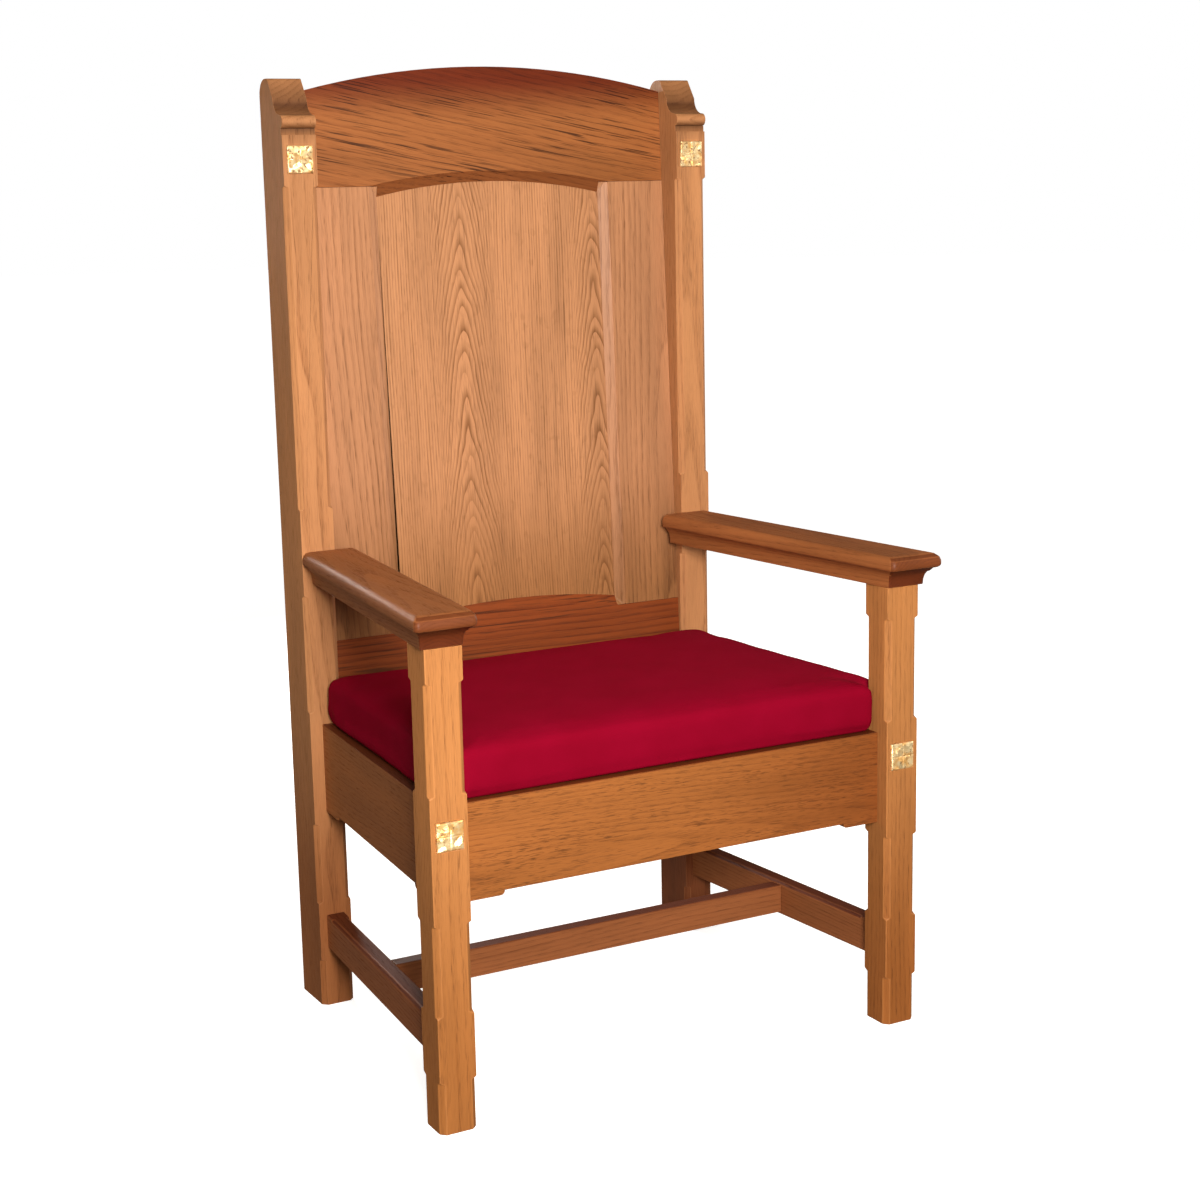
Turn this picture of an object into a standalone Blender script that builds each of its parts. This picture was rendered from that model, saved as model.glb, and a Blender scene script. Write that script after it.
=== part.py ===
"""Celebrant chair in oak: tall panelled back, open moulded arms, boxed loose cushion.

Metres, +Z up. The chair faces -Y. The origin is on the floor, under the middle of the plan.
"""
import math

import bmesh
import bpy
from mathutils import Matrix, Vector

# Fits
GAP = 0.0003                # glue line between pieces that touch
ROOT = 0.004                # how far a tenon's root runs into its own rail
PAST = 0.010                # how far a cut runs on past the surface that it opens
CRISP = math.radians(40)    # edges sharper than this stay crisp

# Plan of the frame
FRONT_WIDTH = 0.720         # over the front legs
BACK_WIDTH = 0.654          # over the rear posts
FRAME_DEPTH = 0.556         # leg front to post back

# Front legs and rear posts
LEG = 0.050                 # square section
POST_WIDTH = 0.048
POST_DEPTH = 0.078
CHAMFER = 0.007
CHAMFER_RUN = 0.008         # length over which a chamfer dies out
BLOCK_MARGIN = 0.020        # plain wood left above and below a joint
ARM_BLOCK = 0.046           # plain wood left on the leg under the arm
POST_ARM_BLOCK = 0.060      # plain wood left on the post over the arm

# Worked top of the rear posts
POST_TOP = 1.293
POST_MOULDING = 0.075       # height of the worked top, above the plain block
TOP_SETBACK = 0.044         # front of the flat top, behind the post's face
TOP_FRONT_RADIUS = 0.005
TOP_BACK_RADIUS = 0.022
COVE_RADIUS = 0.022
BEAD_RADIUS = 0.009
BEAD_PROUD = 0.003
FILLET_HEIGHT = 0.008
FILLET_DEPTH = 0.003
POST_BLOCK = 0.069          # plain block that holds the gilded tile

# Seat rails
RAIL_TOP = 0.413
RAIL_HEIGHT = 0.126         # at the shoulders
RAIL_RELIEF = 0.006         # lower edge cut away between the shoulders
RAIL_SHOULDER = 0.056
RAIL_THICK = 0.024
FRONT_RAIL_SETBACK = 0.020
SIDE_RAIL_INSET = 0.018
RAIL_TENON = 0.026
RAIL_TENON_THICK = 0.010
RAIL_TENON_SHOULDER = 0.012

# Stretchers
STRETCHER_TOP = 0.135
STRETCHER_HEIGHT = 0.049
STRETCHER_THICK = 0.026
STRETCHER_TENON = 0.024
STRETCHER_TENON_THICK = 0.010
STRETCHER_TENON_SHOULDER = 0.009
STRETCHER_CHAMFER = 0.004   # both upper edges
STRETCHER_PLAIN = 0.025     # left plain at both ends
CROSS_HEIGHT = 0.041
CROSS_THICK = 0.022
CROSS_TENON = 0.015
CROSS_TENON_THICK = 0.008
CROSS_TENON_SHOULDER = 0.008

# Arms
ARM_TOP = 0.658
ARM_FASCIA = 0.020          # rounded upper edge
ARM_COVE = 0.024            # hollow moulding under it
ARM_SIDE_OVERHANG = 0.016
ARM_FRONT_OVERHANG = 0.026
ARM_EDGE_RADIUS = 0.010     # upper edge
ARM_LOWER_RADIUS = 0.005    # lower edge of the fascia
ARM_CORNER_RADIUS = 0.007   # front corners, at the nose
ARM_FOOT_RADIUS = 0.002     # front corners, at the foot of the hollow
ARM_STEP = 0.008            # from the nose to the top of the hollow
ARM_STEP_FALL = 0.005       # slope under the fascia
ARM_CORNER_STEPS = 5
ARM_MARGIN = 0.003          # foot of the hollow, proud of the leg
ARM_TENON = 0.026
ARM_TENON_SECTION = 0.022
LEG_TENON = 0.020
LEG_TENON_SECTION = 0.026

# Framed back, leaning back between the upright posts
BACK_THICK = 0.024
BACK_RECESS = 0.008         # face of the back behind the posts' faces, at seat height
BACK_RAKE = math.radians(2.8)
OPENING_HALF = 0.174        # half width of the panel that shows
STICKING_WIDTH = 0.014      # step and bevel round the opening
STICKING_DEPTH = 0.009
STICKING_STEP = 0.002       # depth of the step that the bevel starts from
CREST_DROP = 0.016          # ends of the crest below the tops of the posts
CREST_HEIGHT = 0.128        # at its ends, down to the joint with the stiles
CREST_RISE = 0.034          # of its top
CREST_ARCH = 0.0185         # rise of its lower edge
BOTTOM_SPACE = 0.019        # between the seat rails and the bottom rail
BOTTOM_HEIGHT = 0.094       # up to the joint with the stiles
BOTTOM_ARCH = 0.014         # rise of its upper edge
PANEL_THICK = 0.008
PANEL_TONGUE = 0.008        # panel edge inside the groove
PANEL_SETBACK = 0.001       # panel face behind the foot of the bevel
BACK_TENON = 0.024
BACK_TENON_THICK = 0.010
BACK_TENON_SHOULDER = 0.018
ARCH_STEPS = 20

# Gilded tiles
TILE_MARGIN = 0.006         # wood left beside a tile on the post
TILE_DROP = 0.032           # tile centre below the top of its block or rail
TILE_THICK = 0.003
TILE_SUNK = 0.002
TILE_GROOVE = 0.002         # half width of the cross between the quarters
TILE_RELIEF = 0.001

# Seat board and what carries it
BOARD_THICK = 0.012
BLOCK_HEIGHT = 0.050
BLOCK_ALONG = 0.066         # corner block, along the front or rear rail
BLOCK_BESIDE = 0.062        # corner block, along the side rail
CLEAT = 0.020
CLEAT_SPACE = 0.012         # between cleat and corner block
SCREW_SIDES = 12
SCREW_RADIUS = 0.002
SCREW_HEAD_RADIUS = 0.004
SCREW_HEAD = 0.003
SCREW_BITE = 0.014          # thread in the piece that it is driven into
BOARD_BITE = 0.007
BLOCK_GRIP = 0.012          # block wood under a screw head
BLOCK_SCREW_PLACE = 0.024   # block screw, from the leg or post along the rail
BOARD_SCREW_PLACE = 0.016   # board screw, in from leg or post, both ways
CLEAT_SCREWS = 3
CLEAT_SCREW_END = 0.030

# Cushion
CUSHION_HEIGHT = 0.065      # at its edges
CUSHION_CROWN = 0.015
CUSHION_DRAW = 0.004        # sides drawn in between the corners
CUSHION_SPACE = 0.004       # clear of legs and posts
CUSHION_LEDGE = 0.006       # side rail left showing beside it
CUSHION_FRONT = 0.003       # behind the front rail's face
CUSHION_RADIUS = 0.013
CUSHION_SHARP = math.radians(45)    # outer edges sharper than this are rounded
CUSHION_COLUMNS = 8
CUSHION_ROWS = 8

# Places that follow from the sizes above
SIDES = (("left", -1), ("right", 1))
DEPTH = FRAME_DEPTH + ARM_FRONT_OVERHANG
Y_ARM_NOSE = -DEPTH / 2
Y_LEG_FRONT = Y_ARM_NOSE + ARM_FRONT_OVERHANG
Y_LEG = Y_LEG_FRONT + LEG / 2
Y_LEG_BACK = Y_LEG_FRONT + LEG
Y_POST_BACK = DEPTH / 2
Y_POST_FRONT = Y_POST_BACK - POST_DEPTH
Y_FRONT_RAIL = Y_LEG_FRONT + FRONT_RAIL_SETBACK
Y_REAR_RAIL = Y_POST_FRONT + (POST_DEPTH - RAIL_THICK) / 2
LEG_INNER = FRONT_WIDTH / 2 - LEG
LEG_X = FRONT_WIDTH / 2 - LEG / 2
POST_INNER = BACK_WIDTH / 2 - POST_WIDTH
POST_X = BACK_WIDTH / 2 - POST_WIDTH / 2
RAIL_BOTTOM = RAIL_TOP - RAIL_HEIGHT
RAIL_MIDDLE = RAIL_TOP - RAIL_HEIGHT / 2
STRETCHER_BOTTOM = STRETCHER_TOP - STRETCHER_HEIGHT
STRETCHER_MIDDLE = STRETCHER_TOP - STRETCHER_HEIGHT / 2
ARM_BOTTOM = ARM_TOP - ARM_FASCIA - ARM_COVE
ARM_WIDTH = LEG + 2 * ARM_SIDE_OVERHANG
ARM_TENON_Z = ARM_TOP - ARM_FASCIA
POST_BLOCK_TOP = POST_TOP - POST_MOULDING
BOARD_LOW = RAIL_TOP - BOARD_THICK
BLOCK_TOP = BOARD_LOW - GAP
BLOCK_LOW = BLOCK_TOP - BLOCK_HEIGHT
TILE = POST_WIDTH - 2 * TILE_MARGIN
CREST_END = POST_TOP - CREST_DROP
CREST_SHOULDER = CREST_END - CREST_HEIGHT
BOTTOM_RAIL_LOW = RAIL_TOP + BOTTOM_SPACE
BOTTOM_SHOULDER = BOTTOM_RAIL_LOW + BOTTOM_HEIGHT


def clear_scene():
    for old in list(bpy.data.objects):
        bpy.data.objects.remove(old, do_unlink=True)


def finish_material(name, colour, roughness, metallic=0.0):
    material = bpy.data.materials.new(name)
    material.use_nodes = True
    shader = material.node_tree.nodes["Principled BSDF"]
    shader.inputs["Base Color"].default_value = (*colour, 1.0)
    shader.inputs["Roughness"].default_value = roughness
    shader.inputs["Metallic"].default_value = metallic
    return material


def shade_rounds():
    """Curved faces shade smooth, and edges stay crisp."""
    for piece in bpy.data.objects:
        if piece.type == "MESH":
            piece.data.shade_smooth()
            piece.data.set_sharp_from_angle(angle=CRISP)


def line_between(y0, x0, y1, x1):
    """X on a straight line in plan, as a function of Y."""
    slope = (x1 - x0) / (y1 - y0)
    return lambda y: x0 + slope * (y - y0)


def box(low, high, grow=0.0):
    bm = bmesh.new()
    bmesh.ops.create_cube(bm, size=1.0)
    size = [b - a + 2 * grow for a, b in zip(low, high)]
    middle = [(a + b) / 2 for a, b in zip(low, high)]
    bmesh.ops.transform(bm, matrix=Matrix.LocRotScale(middle, None, size), verts=bm.verts)
    return bm


def at_depth(outline, axis, depth):
    """Points of a flat outline, given in the two other axes in XYZ order, at a depth along one axis."""
    where = "XYZ".index(axis)
    return [(*point[:where], depth, *point[where:]) for point in outline]


def prism(outline, axis, low, high):
    """A flat outline pushed along one axis."""
    return loft([at_depth(outline, axis, depth) for depth in (low, high)])


def loft(rings):
    """A closed skin through rings of like count, with a face over each end."""
    bm = bmesh.new()
    rows = [[bm.verts.new(point) for point in ring] for ring in rings]
    for lower, upper in zip(rows, rows[1:]):
        for i in range(len(lower)):
            j = (i + 1) % len(lower)
            bm.faces.new((lower[i], lower[j], upper[j], upper[i]))
    bm.faces.new(rows[0])
    bm.faces.new(rows[-1])
    return bm


def mirrored_box(side, low, high, grow=0.0):
    """A box stated for the right side, placed on either side."""
    x = sorted((side * low[0], side * high[0]))
    return box((x[0], low[1], low[2]), (x[1], high[1], high[2]), grow)


def follow(bm, line, side):
    """Shifts a piece built about X = 0 on to a splayed line of the chair's plan."""
    for vert in bm.verts:
        vert.co.x = side * (line(vert.co.y) + vert.co.x)
    return bm


def solid(name, bm, material):
    bm.normal_update()
    bmesh.ops.recalc_face_normals(bm, faces=bm.faces)
    mesh = bpy.data.meshes.new(name)
    bm.to_mesh(mesh)
    bm.free()
    mesh.materials.append(material)
    piece = bpy.data.objects.new(name, mesh)
    bpy.context.scene.collection.objects.link(piece)
    return piece


def settle(piece):
    """Keeps what a piece's modifiers make of its mesh, and drops the modifiers."""
    graph = bpy.context.evaluated_depsgraph_get()
    piece.data = bpy.data.meshes.new_from_object(piece.evaluated_get(graph))
    piece.modifiers.clear()


def work(piece, operation, shapes):
    """Joins shapes to a piece ('UNION') or cuts them out of it ('DIFFERENCE')."""
    for shape in shapes:
        tool = solid("tool", shape, piece.data.materials[0])
        change = piece.modifiers.new("joint", "BOOLEAN")
        change.operation = operation
        change.solver = "EXACT"
        change.object = tool
        settle(piece)
        bpy.data.objects.remove(tool, do_unlink=True)
    return piece


def arc(centre, radius, start, end, steps):
    angles = [math.radians(start + (end - start) * i / steps) for i in range(steps + 1)]
    return [(centre[0] + radius * math.cos(a), centre[1] + radius * math.sin(a)) for a in angles]


# Lines of the plan that splayed pieces follow, for the right-hand side
rail_line = line_between(
    Y_LEG_BACK, FRONT_WIDTH / 2 - SIDE_RAIL_INSET - RAIL_THICK / 2,
    Y_POST_FRONT, BACK_WIDTH / 2 - SIDE_RAIL_INSET - RAIL_THICK / 2)
stretcher_line = line_between(Y_LEG_BACK, LEG_X, Y_POST_FRONT, POST_X)
arm_line = line_between(Y_LEG, LEG_X, Y_POST_FRONT, BACK_WIDTH / 2 - ARM_WIDTH / 2)


def rail_inner(y):
    return rail_line(y) - RAIL_THICK / 2


# Tenons, each stated once for the piece that carries it and the mortise that takes it

def front_rail_tenon(side, grow=0.0):
    middle = Y_FRONT_RAIL + RAIL_THICK / 2
    half = RAIL_TENON_THICK / 2
    low = (LEG_INNER - ROOT, middle - half, RAIL_MIDDLE + RAIL_TENON_SHOULDER / 2)
    high = (LEG_INNER + RAIL_TENON, middle + half, RAIL_TOP - RAIL_TENON_SHOULDER)
    return mirrored_box(side, low, high, grow)


def rear_rail_tenon(side, grow=0.0):
    middle = Y_REAR_RAIL + RAIL_THICK / 2
    half = RAIL_TENON_THICK / 2
    low = (POST_INNER - ROOT, middle - half, RAIL_BOTTOM + RAIL_TENON_SHOULDER)
    high = (POST_INNER + RAIL_TENON, middle + half, RAIL_TOP - RAIL_TENON_SHOULDER)
    return mirrored_box(side, low, high, grow)


def side_rail_tenon(side, y0, y1, grow=0.0):
    half = RAIL_TENON_THICK / 2
    low = (-half, y0, RAIL_BOTTOM + RAIL_TENON_SHOULDER)
    high = (half, y1, RAIL_MIDDLE - RAIL_TENON_SHOULDER / 2)
    return follow(box(low, high, grow), rail_line, side)


def side_rail_tenons(side, grow=0.0):
    return [side_rail_tenon(side, Y_LEG_BACK - RAIL_TENON, Y_LEG_BACK + ROOT, grow),
            side_rail_tenon(side, Y_POST_FRONT - ROOT, Y_POST_FRONT + RAIL_TENON, grow)]


def stretcher_tenons(side, grow=0.0):
    half = STRETCHER_TENON_THICK / 2
    low = STRETCHER_BOTTOM + STRETCHER_TENON_SHOULDER
    high = STRETCHER_TOP - STRETCHER_TENON_SHOULDER
    spans = ((Y_LEG_BACK - STRETCHER_TENON, Y_LEG_BACK + ROOT),
             (Y_POST_FRONT - ROOT, Y_POST_FRONT + STRETCHER_TENON))
    return [follow(box((-half, y0, low), (half, y1, high), grow), stretcher_line, side) for y0, y1 in spans]


def cross_tenon(side, grow=0.0):
    y = (Y_LEG_BACK + Y_POST_FRONT) / 2
    inner = stretcher_line(y) - STRETCHER_THICK / 2
    half = CROSS_TENON_THICK / 2
    tall = CROSS_HEIGHT / 2 - CROSS_TENON_SHOULDER
    low = (inner - ROOT, y - half, STRETCHER_MIDDLE - tall)
    high = (inner + CROSS_TENON, y + half, STRETCHER_MIDDLE + tall)
    return mirrored_box(side, low, high, grow)


def leg_tenon(side, grow=0.0):
    half = LEG_TENON_SECTION / 2
    low = (LEG_X - half, Y_LEG - half, ARM_BOTTOM - ROOT)
    high = (LEG_X + half, Y_LEG + half, ARM_BOTTOM + LEG_TENON)
    return mirrored_box(side, low, high, grow)


def arm_tenon(side, grow=0.0):
    half = ARM_TENON_SECTION / 2
    low = (POST_X - half, Y_POST_FRONT - ROOT, ARM_TENON_Z - half)
    high = (POST_X + half, Y_POST_FRONT + ARM_TENON, ARM_TENON_Z + half)
    return mirrored_box(side, low, high, grow)


# The back's own frame: X across, Z up its slope from seat height, face at Y = 0

def slope_height(z):
    return (z - RAIL_TOP) / math.cos(BACK_RAKE)


BACK_PLACE = Matrix.LocRotScale(
    Vector((0.0, Y_POST_FRONT + BACK_RECESS, RAIL_TOP)),
    Matrix.Rotation(-BACK_RAKE, 3, "X").to_quaternion(),
    None)
BACK_SIDE = POST_INNER - GAP
V_CREST_END = slope_height(CREST_END)
V_CREST = slope_height(CREST_SHOULDER)
V_BOTTOM = slope_height(BOTTOM_SHOULDER)
V_LOW = slope_height(BOTTOM_RAIL_LOW)


def arch(half, height, rise):
    """Points of a low arch from left to right."""
    radius = (half ** 2 + rise ** 2) / (2 * rise)
    centre = height + rise - radius
    xs = [half * (2 * i / ARCH_STEPS - 1) for i in range(ARCH_STEPS + 1)]
    return [(x, centre + math.sqrt(radius ** 2 - x ** 2)) for x in xs]


def opening(grow):
    """Outline of the panel opening, grown outwards all round."""
    half = OPENING_HALF + grow
    low = arch(half, V_BOTTOM + STICKING_WIDTH - grow, BOTTOM_ARCH)
    high = arch(half, V_CREST - STICKING_WIDTH + grow, CREST_ARCH)
    return low + high[::-1]


def sticking():
    """The step and bevel that are worked round the opening, carried on past both edges."""
    sizes = ((STICKING_WIDTH, -PAST), (STICKING_WIDTH, STICKING_STEP),
             (-STICKING_WIDTH, 2 * STICKING_DEPTH - STICKING_STEP))
    return loft([[(x, depth, v) for x, v in opening(grow)] for grow, depth in sizes])


def panel_shape(grow=0.0):
    face = STICKING_DEPTH + PANEL_SETBACK
    return prism(opening(PANEL_TONGUE + grow), "Y", face - grow, face + PANEL_THICK + grow)


def stile_tenons(side, grow=0.0):
    middle = BACK_THICK / 2
    half = BACK_TENON_THICK / 2
    inner = OPENING_HALF + BACK_TENON_SHOULDER
    outer = POST_INNER - BACK_TENON_SHOULDER
    spans = ((V_BOTTOM - BACK_TENON, V_BOTTOM + ROOT), (V_CREST - ROOT, V_CREST + BACK_TENON))
    return [mirrored_box(side, (inner, middle - half, low), (outer, middle + half, high), grow)
            for low, high in spans]


def back_rail_tenon(side, low, high, grow=0.0):
    middle = BACK_THICK / 2
    half = BACK_TENON_THICK / 2
    return mirrored_box(
        side,
        (POST_INNER - ROOT, middle - half, low + BACK_TENON_SHOULDER),
        (POST_INNER + BACK_TENON, middle + half, high - BACK_TENON_SHOULDER), grow)


def crest_tenon(side, grow=0.0):
    return back_rail_tenon(side, V_CREST, V_CREST_END, grow)


def bottom_tenon(side, grow=0.0):
    return back_rail_tenon(side, V_LOW, V_BOTTOM, grow)


def in_chair(bm):
    """Carries a shape from the back's own frame into the chair's."""
    bmesh.ops.transform(bm, matrix=BACK_PLACE, verts=bm.verts)
    return bm


# Chamfers, tiles and mouldings worked on legs and posts

def stopped_chamfer(a, b, out_a, out_b, low, high, size=CHAMFER, axis="Z"):
    """Wedge that takes off one long corner and dies out at both ends."""
    def ring(taken, depth):
        corner = (a + out_a * PAST, b + out_b * PAST)
        along_a = (a - out_a * (taken + PAST), b + out_b * PAST)
        along_b = (a + out_a * PAST, b - out_b * (taken + PAST))
        return at_depth([corner, along_a, along_b], axis, depth)
    full = [ring(size, low), ring(size, high)]
    return loft([ring(-PAST, low - CHAMFER_RUN)] + full + [ring(-PAST, high + CHAMFER_RUN)])


def chamfers(corners, zones):
    return [stopped_chamfer(*corner, low, high) for corner in corners for low, high in zones]


LOWER_ZONES = (
    (-PAST, STRETCHER_BOTTOM - BLOCK_MARGIN),
    (STRETCHER_TOP + BLOCK_MARGIN, RAIL_BOTTOM - BLOCK_MARGIN))


def tile_recess(x, face, z):
    half = TILE / 2 + GAP
    return box((x - half, face - PAST, z - half), (x + half, face + TILE_SUNK + GAP, z + half))


LEG_TILE_Z = RAIL_TOP - TILE_DROP
POST_TILE_Z = POST_BLOCK_TOP - TILE_DROP


def front_leg(word, side):
    leg = solid(f"front_leg_{word}", mirrored_box(
        side, (LEG_INNER, Y_LEG_FRONT, 0.0), (LEG_INNER + LEG, Y_LEG_BACK, ARM_BOTTOM - GAP)), OAK)
    corners = [(side * x, y, side * out_x, out_y)
               for x, out_x in ((LEG_INNER, -1), (LEG_INNER + LEG, 1))
               for y, out_y in ((Y_LEG_FRONT, -1), (Y_LEG_BACK, 1))]
    zones = LOWER_ZONES + ((RAIL_TOP + BLOCK_MARGIN, ARM_BOTTOM - ARM_BLOCK),)
    work(leg, "DIFFERENCE", chamfers(corners, zones))
    work(leg, "UNION", [leg_tenon(side)])
    mortises = [front_rail_tenon(side, GAP), side_rail_tenons(side, GAP)[0], stretcher_tenons(side, GAP)[0]]
    work(leg, "DIFFERENCE", mortises + [tile_recess(side * LEG_X, Y_LEG_FRONT, LEG_TILE_Z)])
    return leg


def post_profile():
    """Side view of a rear post, from its foot round by the back and the worked top."""
    bead_back = BEAD_RADIUS - BEAD_PROUD
    bead_middle = POST_BLOCK_TOP + FILLET_HEIGHT + BEAD_RADIUS
    bead_top = bead_middle + BEAD_RADIUS
    back = arc((POST_DEPTH - TOP_BACK_RADIUS, POST_TOP - TOP_BACK_RADIUS), TOP_BACK_RADIUS, 0, 90, 8)
    front = arc((TOP_SETBACK + TOP_FRONT_RADIUS, POST_TOP - TOP_FRONT_RADIUS), TOP_FRONT_RADIUS, 90, 160, 4)
    cove = arc((bead_back, bead_top + COVE_RADIUS), COVE_RADIUS, 0, -90, 8)
    bead = arc((bead_back, bead_middle), BEAD_RADIUS, 90, 270, 10)
    fillet_top = POST_BLOCK_TOP + FILLET_HEIGHT
    fillet = [(FILLET_DEPTH, fillet_top), (FILLET_DEPTH, POST_BLOCK_TOP), (0.0, POST_BLOCK_TOP)]
    foot = [(0.0, 0.0), (POST_DEPTH, 0.0)]
    outline = foot + back + front + cove + bead[1:] + fillet
    return [(Y_POST_FRONT + y, z) for y, z in outline]


def rear_post(word, side):
    edges = sorted((side * POST_INNER, side * (POST_INNER + POST_WIDTH)))
    post = solid(f"rear_post_{word}", prism(post_profile(), "X", *edges), OAK)
    corners = [(edges[0], Y_POST_FRONT, -1, -1), (edges[1], Y_POST_FRONT, 1, -1)]
    zones = LOWER_ZONES + (
        (RAIL_TOP + BLOCK_MARGIN, ARM_BOTTOM - BLOCK_MARGIN),
        (ARM_TOP + POST_ARM_BLOCK, POST_BLOCK_TOP - POST_BLOCK))
    work(post, "DIFFERENCE", chamfers(corners, zones))
    mortises = [rear_rail_tenon(side, GAP), side_rail_tenons(side, GAP)[1], stretcher_tenons(side, GAP)[1],
                arm_tenon(side, GAP), in_chair(crest_tenon(side, GAP)), in_chair(bottom_tenon(side, GAP))]
    work(post, "DIFFERENCE", mortises + [tile_recess(side * POST_X, Y_POST_FRONT, POST_TILE_Z)])
    return post


def rail_outline(start, end):
    """Face view of a seat rail: straight top, lower edge dropped to a rounded shoulder at each end."""
    relief = RAIL_BOTTOM + RAIL_RELIEF
    left = arc((start + RAIL_SHOULDER - RAIL_RELIEF, relief), RAIL_RELIEF, -90, 0, 4)
    right = arc((end - RAIL_SHOULDER + RAIL_RELIEF, relief), RAIL_RELIEF, 180, 270, 4)
    return [(start, RAIL_TOP), (start, RAIL_BOTTOM)] + left + right + [(end, RAIL_BOTTOM), (end, RAIL_TOP)]


def cross_rail(name, inner, y, tenon):
    outline = rail_outline(-inner + GAP, inner - GAP)
    rail = solid(name, prism(outline, "Y", y, y + RAIL_THICK), OAK)
    return work(rail, "UNION", [tenon(side) for _, side in SIDES])


def side_rail(word, side):
    outline = rail_outline(Y_LEG_BACK + GAP, Y_POST_FRONT - GAP)
    body = follow(prism(outline, "X", -RAIL_THICK / 2, RAIL_THICK / 2), rail_line, side)
    return work(solid(f"side_seat_rail_{word}", body, OAK), "UNION", side_rail_tenons(side))


def side_stretcher(word, side):
    half = STRETCHER_THICK / 2
    body = box((-half, Y_LEG_BACK + GAP, STRETCHER_BOTTOM), (half, Y_POST_FRONT - GAP, STRETCHER_TOP))
    stretcher = solid(f"side_stretcher_{word}", follow(body, stretcher_line, side), OAK)
    work(stretcher, "UNION", stretcher_tenons(side))
    ends = (Y_LEG_BACK + STRETCHER_PLAIN, Y_POST_FRONT - STRETCHER_PLAIN)
    edges = [stopped_chamfer(out * half, STRETCHER_TOP, out, 1, *ends, STRETCHER_CHAMFER, "Y")
             for out in (-1, 1)]
    work(stretcher, "DIFFERENCE", [follow(edge, stretcher_line, side) for edge in edges])
    return work(stretcher, "DIFFERENCE", [cross_tenon(side, GAP)])


def cross_stretcher():
    middle = (Y_LEG_BACK + Y_POST_FRONT) / 2
    front = middle - CROSS_THICK / 2
    back = middle + CROSS_THICK / 2
    end = {y: stretcher_line(y) - STRETCHER_THICK / 2 - GAP for y in (front, back)}
    outline = [(-end[front], front), (end[front], front), (end[back], back), (-end[back], back)]
    half = CROSS_HEIGHT / 2
    body = prism(outline, "Z", STRETCHER_MIDDLE - half, STRETCHER_MIDDLE + half)
    return work(solid("cross_stretcher", body, OAK), "UNION", [cross_tenon(side) for _, side in SIDES])


def arm_levels():
    """Edge of the arm from its top to the foot of its hollow: height, and inset from the nose."""
    fascia = ARM_TOP - ARM_FASCIA
    reach = ARM_SIDE_OVERHANG - ARM_MARGIN - ARM_STEP
    turn = [math.radians(a) for a in (0, 30, 60, 90)]
    nose = [(ARM_TOP - ARM_EDGE_RADIUS * (1 - math.cos(a)), ARM_EDGE_RADIUS * (1 - math.sin(a)))
            for a in turn]
    under = [(fascia + ARM_LOWER_RADIUS * (1 - math.cos(a)), ARM_LOWER_RADIUS * (1 - math.sin(a)))
             for a in turn[::-1]]
    fall = ARM_COVE - ARM_STEP_FALL
    hollow = [(ARM_BOTTOM + fall * math.cos(a), ARM_STEP + reach * math.sin(a))
              for a in (math.radians(angle) for angle in (0, 22, 45, 67, 90))]
    return nose + under + hollow


def arm_outline(inset):
    """Plan of the arm about its own line, at one level of its moulded edge."""
    reach = ARM_SIDE_OVERHANG - ARM_MARGIN
    front = Y_ARM_NOSE + inset * (ARM_FRONT_OVERHANG - ARM_MARGIN) / reach
    back = Y_POST_FRONT - GAP
    half = ARM_WIDTH / 2 - inset
    radius = ARM_CORNER_RADIUS - (ARM_CORNER_RADIUS - ARM_FOOT_RADIUS) * inset / reach
    left = arc((-half + radius, front + radius), radius, 180, 270, ARM_CORNER_STEPS)
    right = arc((half - radius, front + radius), radius, 270, 360, ARM_CORNER_STEPS)
    return left + right + [(half, back), (-half, back)]


def arm(word, side):
    rings = [at_depth(arm_outline(inset), "Z", z) for z, inset in arm_levels()]
    piece = solid(f"arm_{word}", follow(loft(rings), arm_line, side), OAK)
    work(piece, "UNION", [arm_tenon(side)])
    return work(piece, "DIFFERENCE", [leg_tenon(side, GAP)])


# Framed back

def back_piece(name, bm, tenons, mortises):
    """A piece of the back: joints first, then the panel groove and the bevel."""
    piece = solid(name, bm, OAK)
    work(piece, "UNION", tenons)
    work(piece, "DIFFERENCE", mortises + [panel_shape(GAP), sticking()])
    piece.parent = BACK_FRAME
    return piece


def crest_rail():
    inner = OPENING_HALF - GAP
    lower = [(-BACK_SIDE, V_CREST), (-inner, V_CREST)]
    lower += arch(inner, V_CREST - STICKING_WIDTH, CREST_ARCH)
    lower += [(inner, V_CREST), (BACK_SIDE, V_CREST)]
    upper = arch(BACK_SIDE, V_CREST_END, CREST_RISE)
    body = prism(lower + upper[::-1], "Y", 0.0, BACK_THICK)
    mortises = [shape for _, side in SIDES for shape in stile_tenons(side, GAP)[1:]]
    return back_piece("back_crest_rail", body, [crest_tenon(side) for _, side in SIDES], mortises)


def bottom_rail():
    inner = OPENING_HALF - GAP
    upper = [(BACK_SIDE, V_BOTTOM), (inner, V_BOTTOM)]
    upper += arch(inner, V_BOTTOM + STICKING_WIDTH, BOTTOM_ARCH)[::-1]
    upper += [(-inner, V_BOTTOM), (-BACK_SIDE, V_BOTTOM)]
    body = prism([(-BACK_SIDE, V_LOW), (BACK_SIDE, V_LOW)] + upper, "Y", 0.0, BACK_THICK)
    mortises = [shape for _, side in SIDES for shape in stile_tenons(side, GAP)[:1]]
    return back_piece("back_bottom_rail", body, [bottom_tenon(side) for _, side in SIDES], mortises)


def back_stile(word, side):
    body = mirrored_box(side, (OPENING_HALF, 0.0, V_BOTTOM + GAP), (BACK_SIDE, BACK_THICK, V_CREST - GAP))
    return back_piece(f"back_stile_{word}", body, stile_tenons(side), [])


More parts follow.
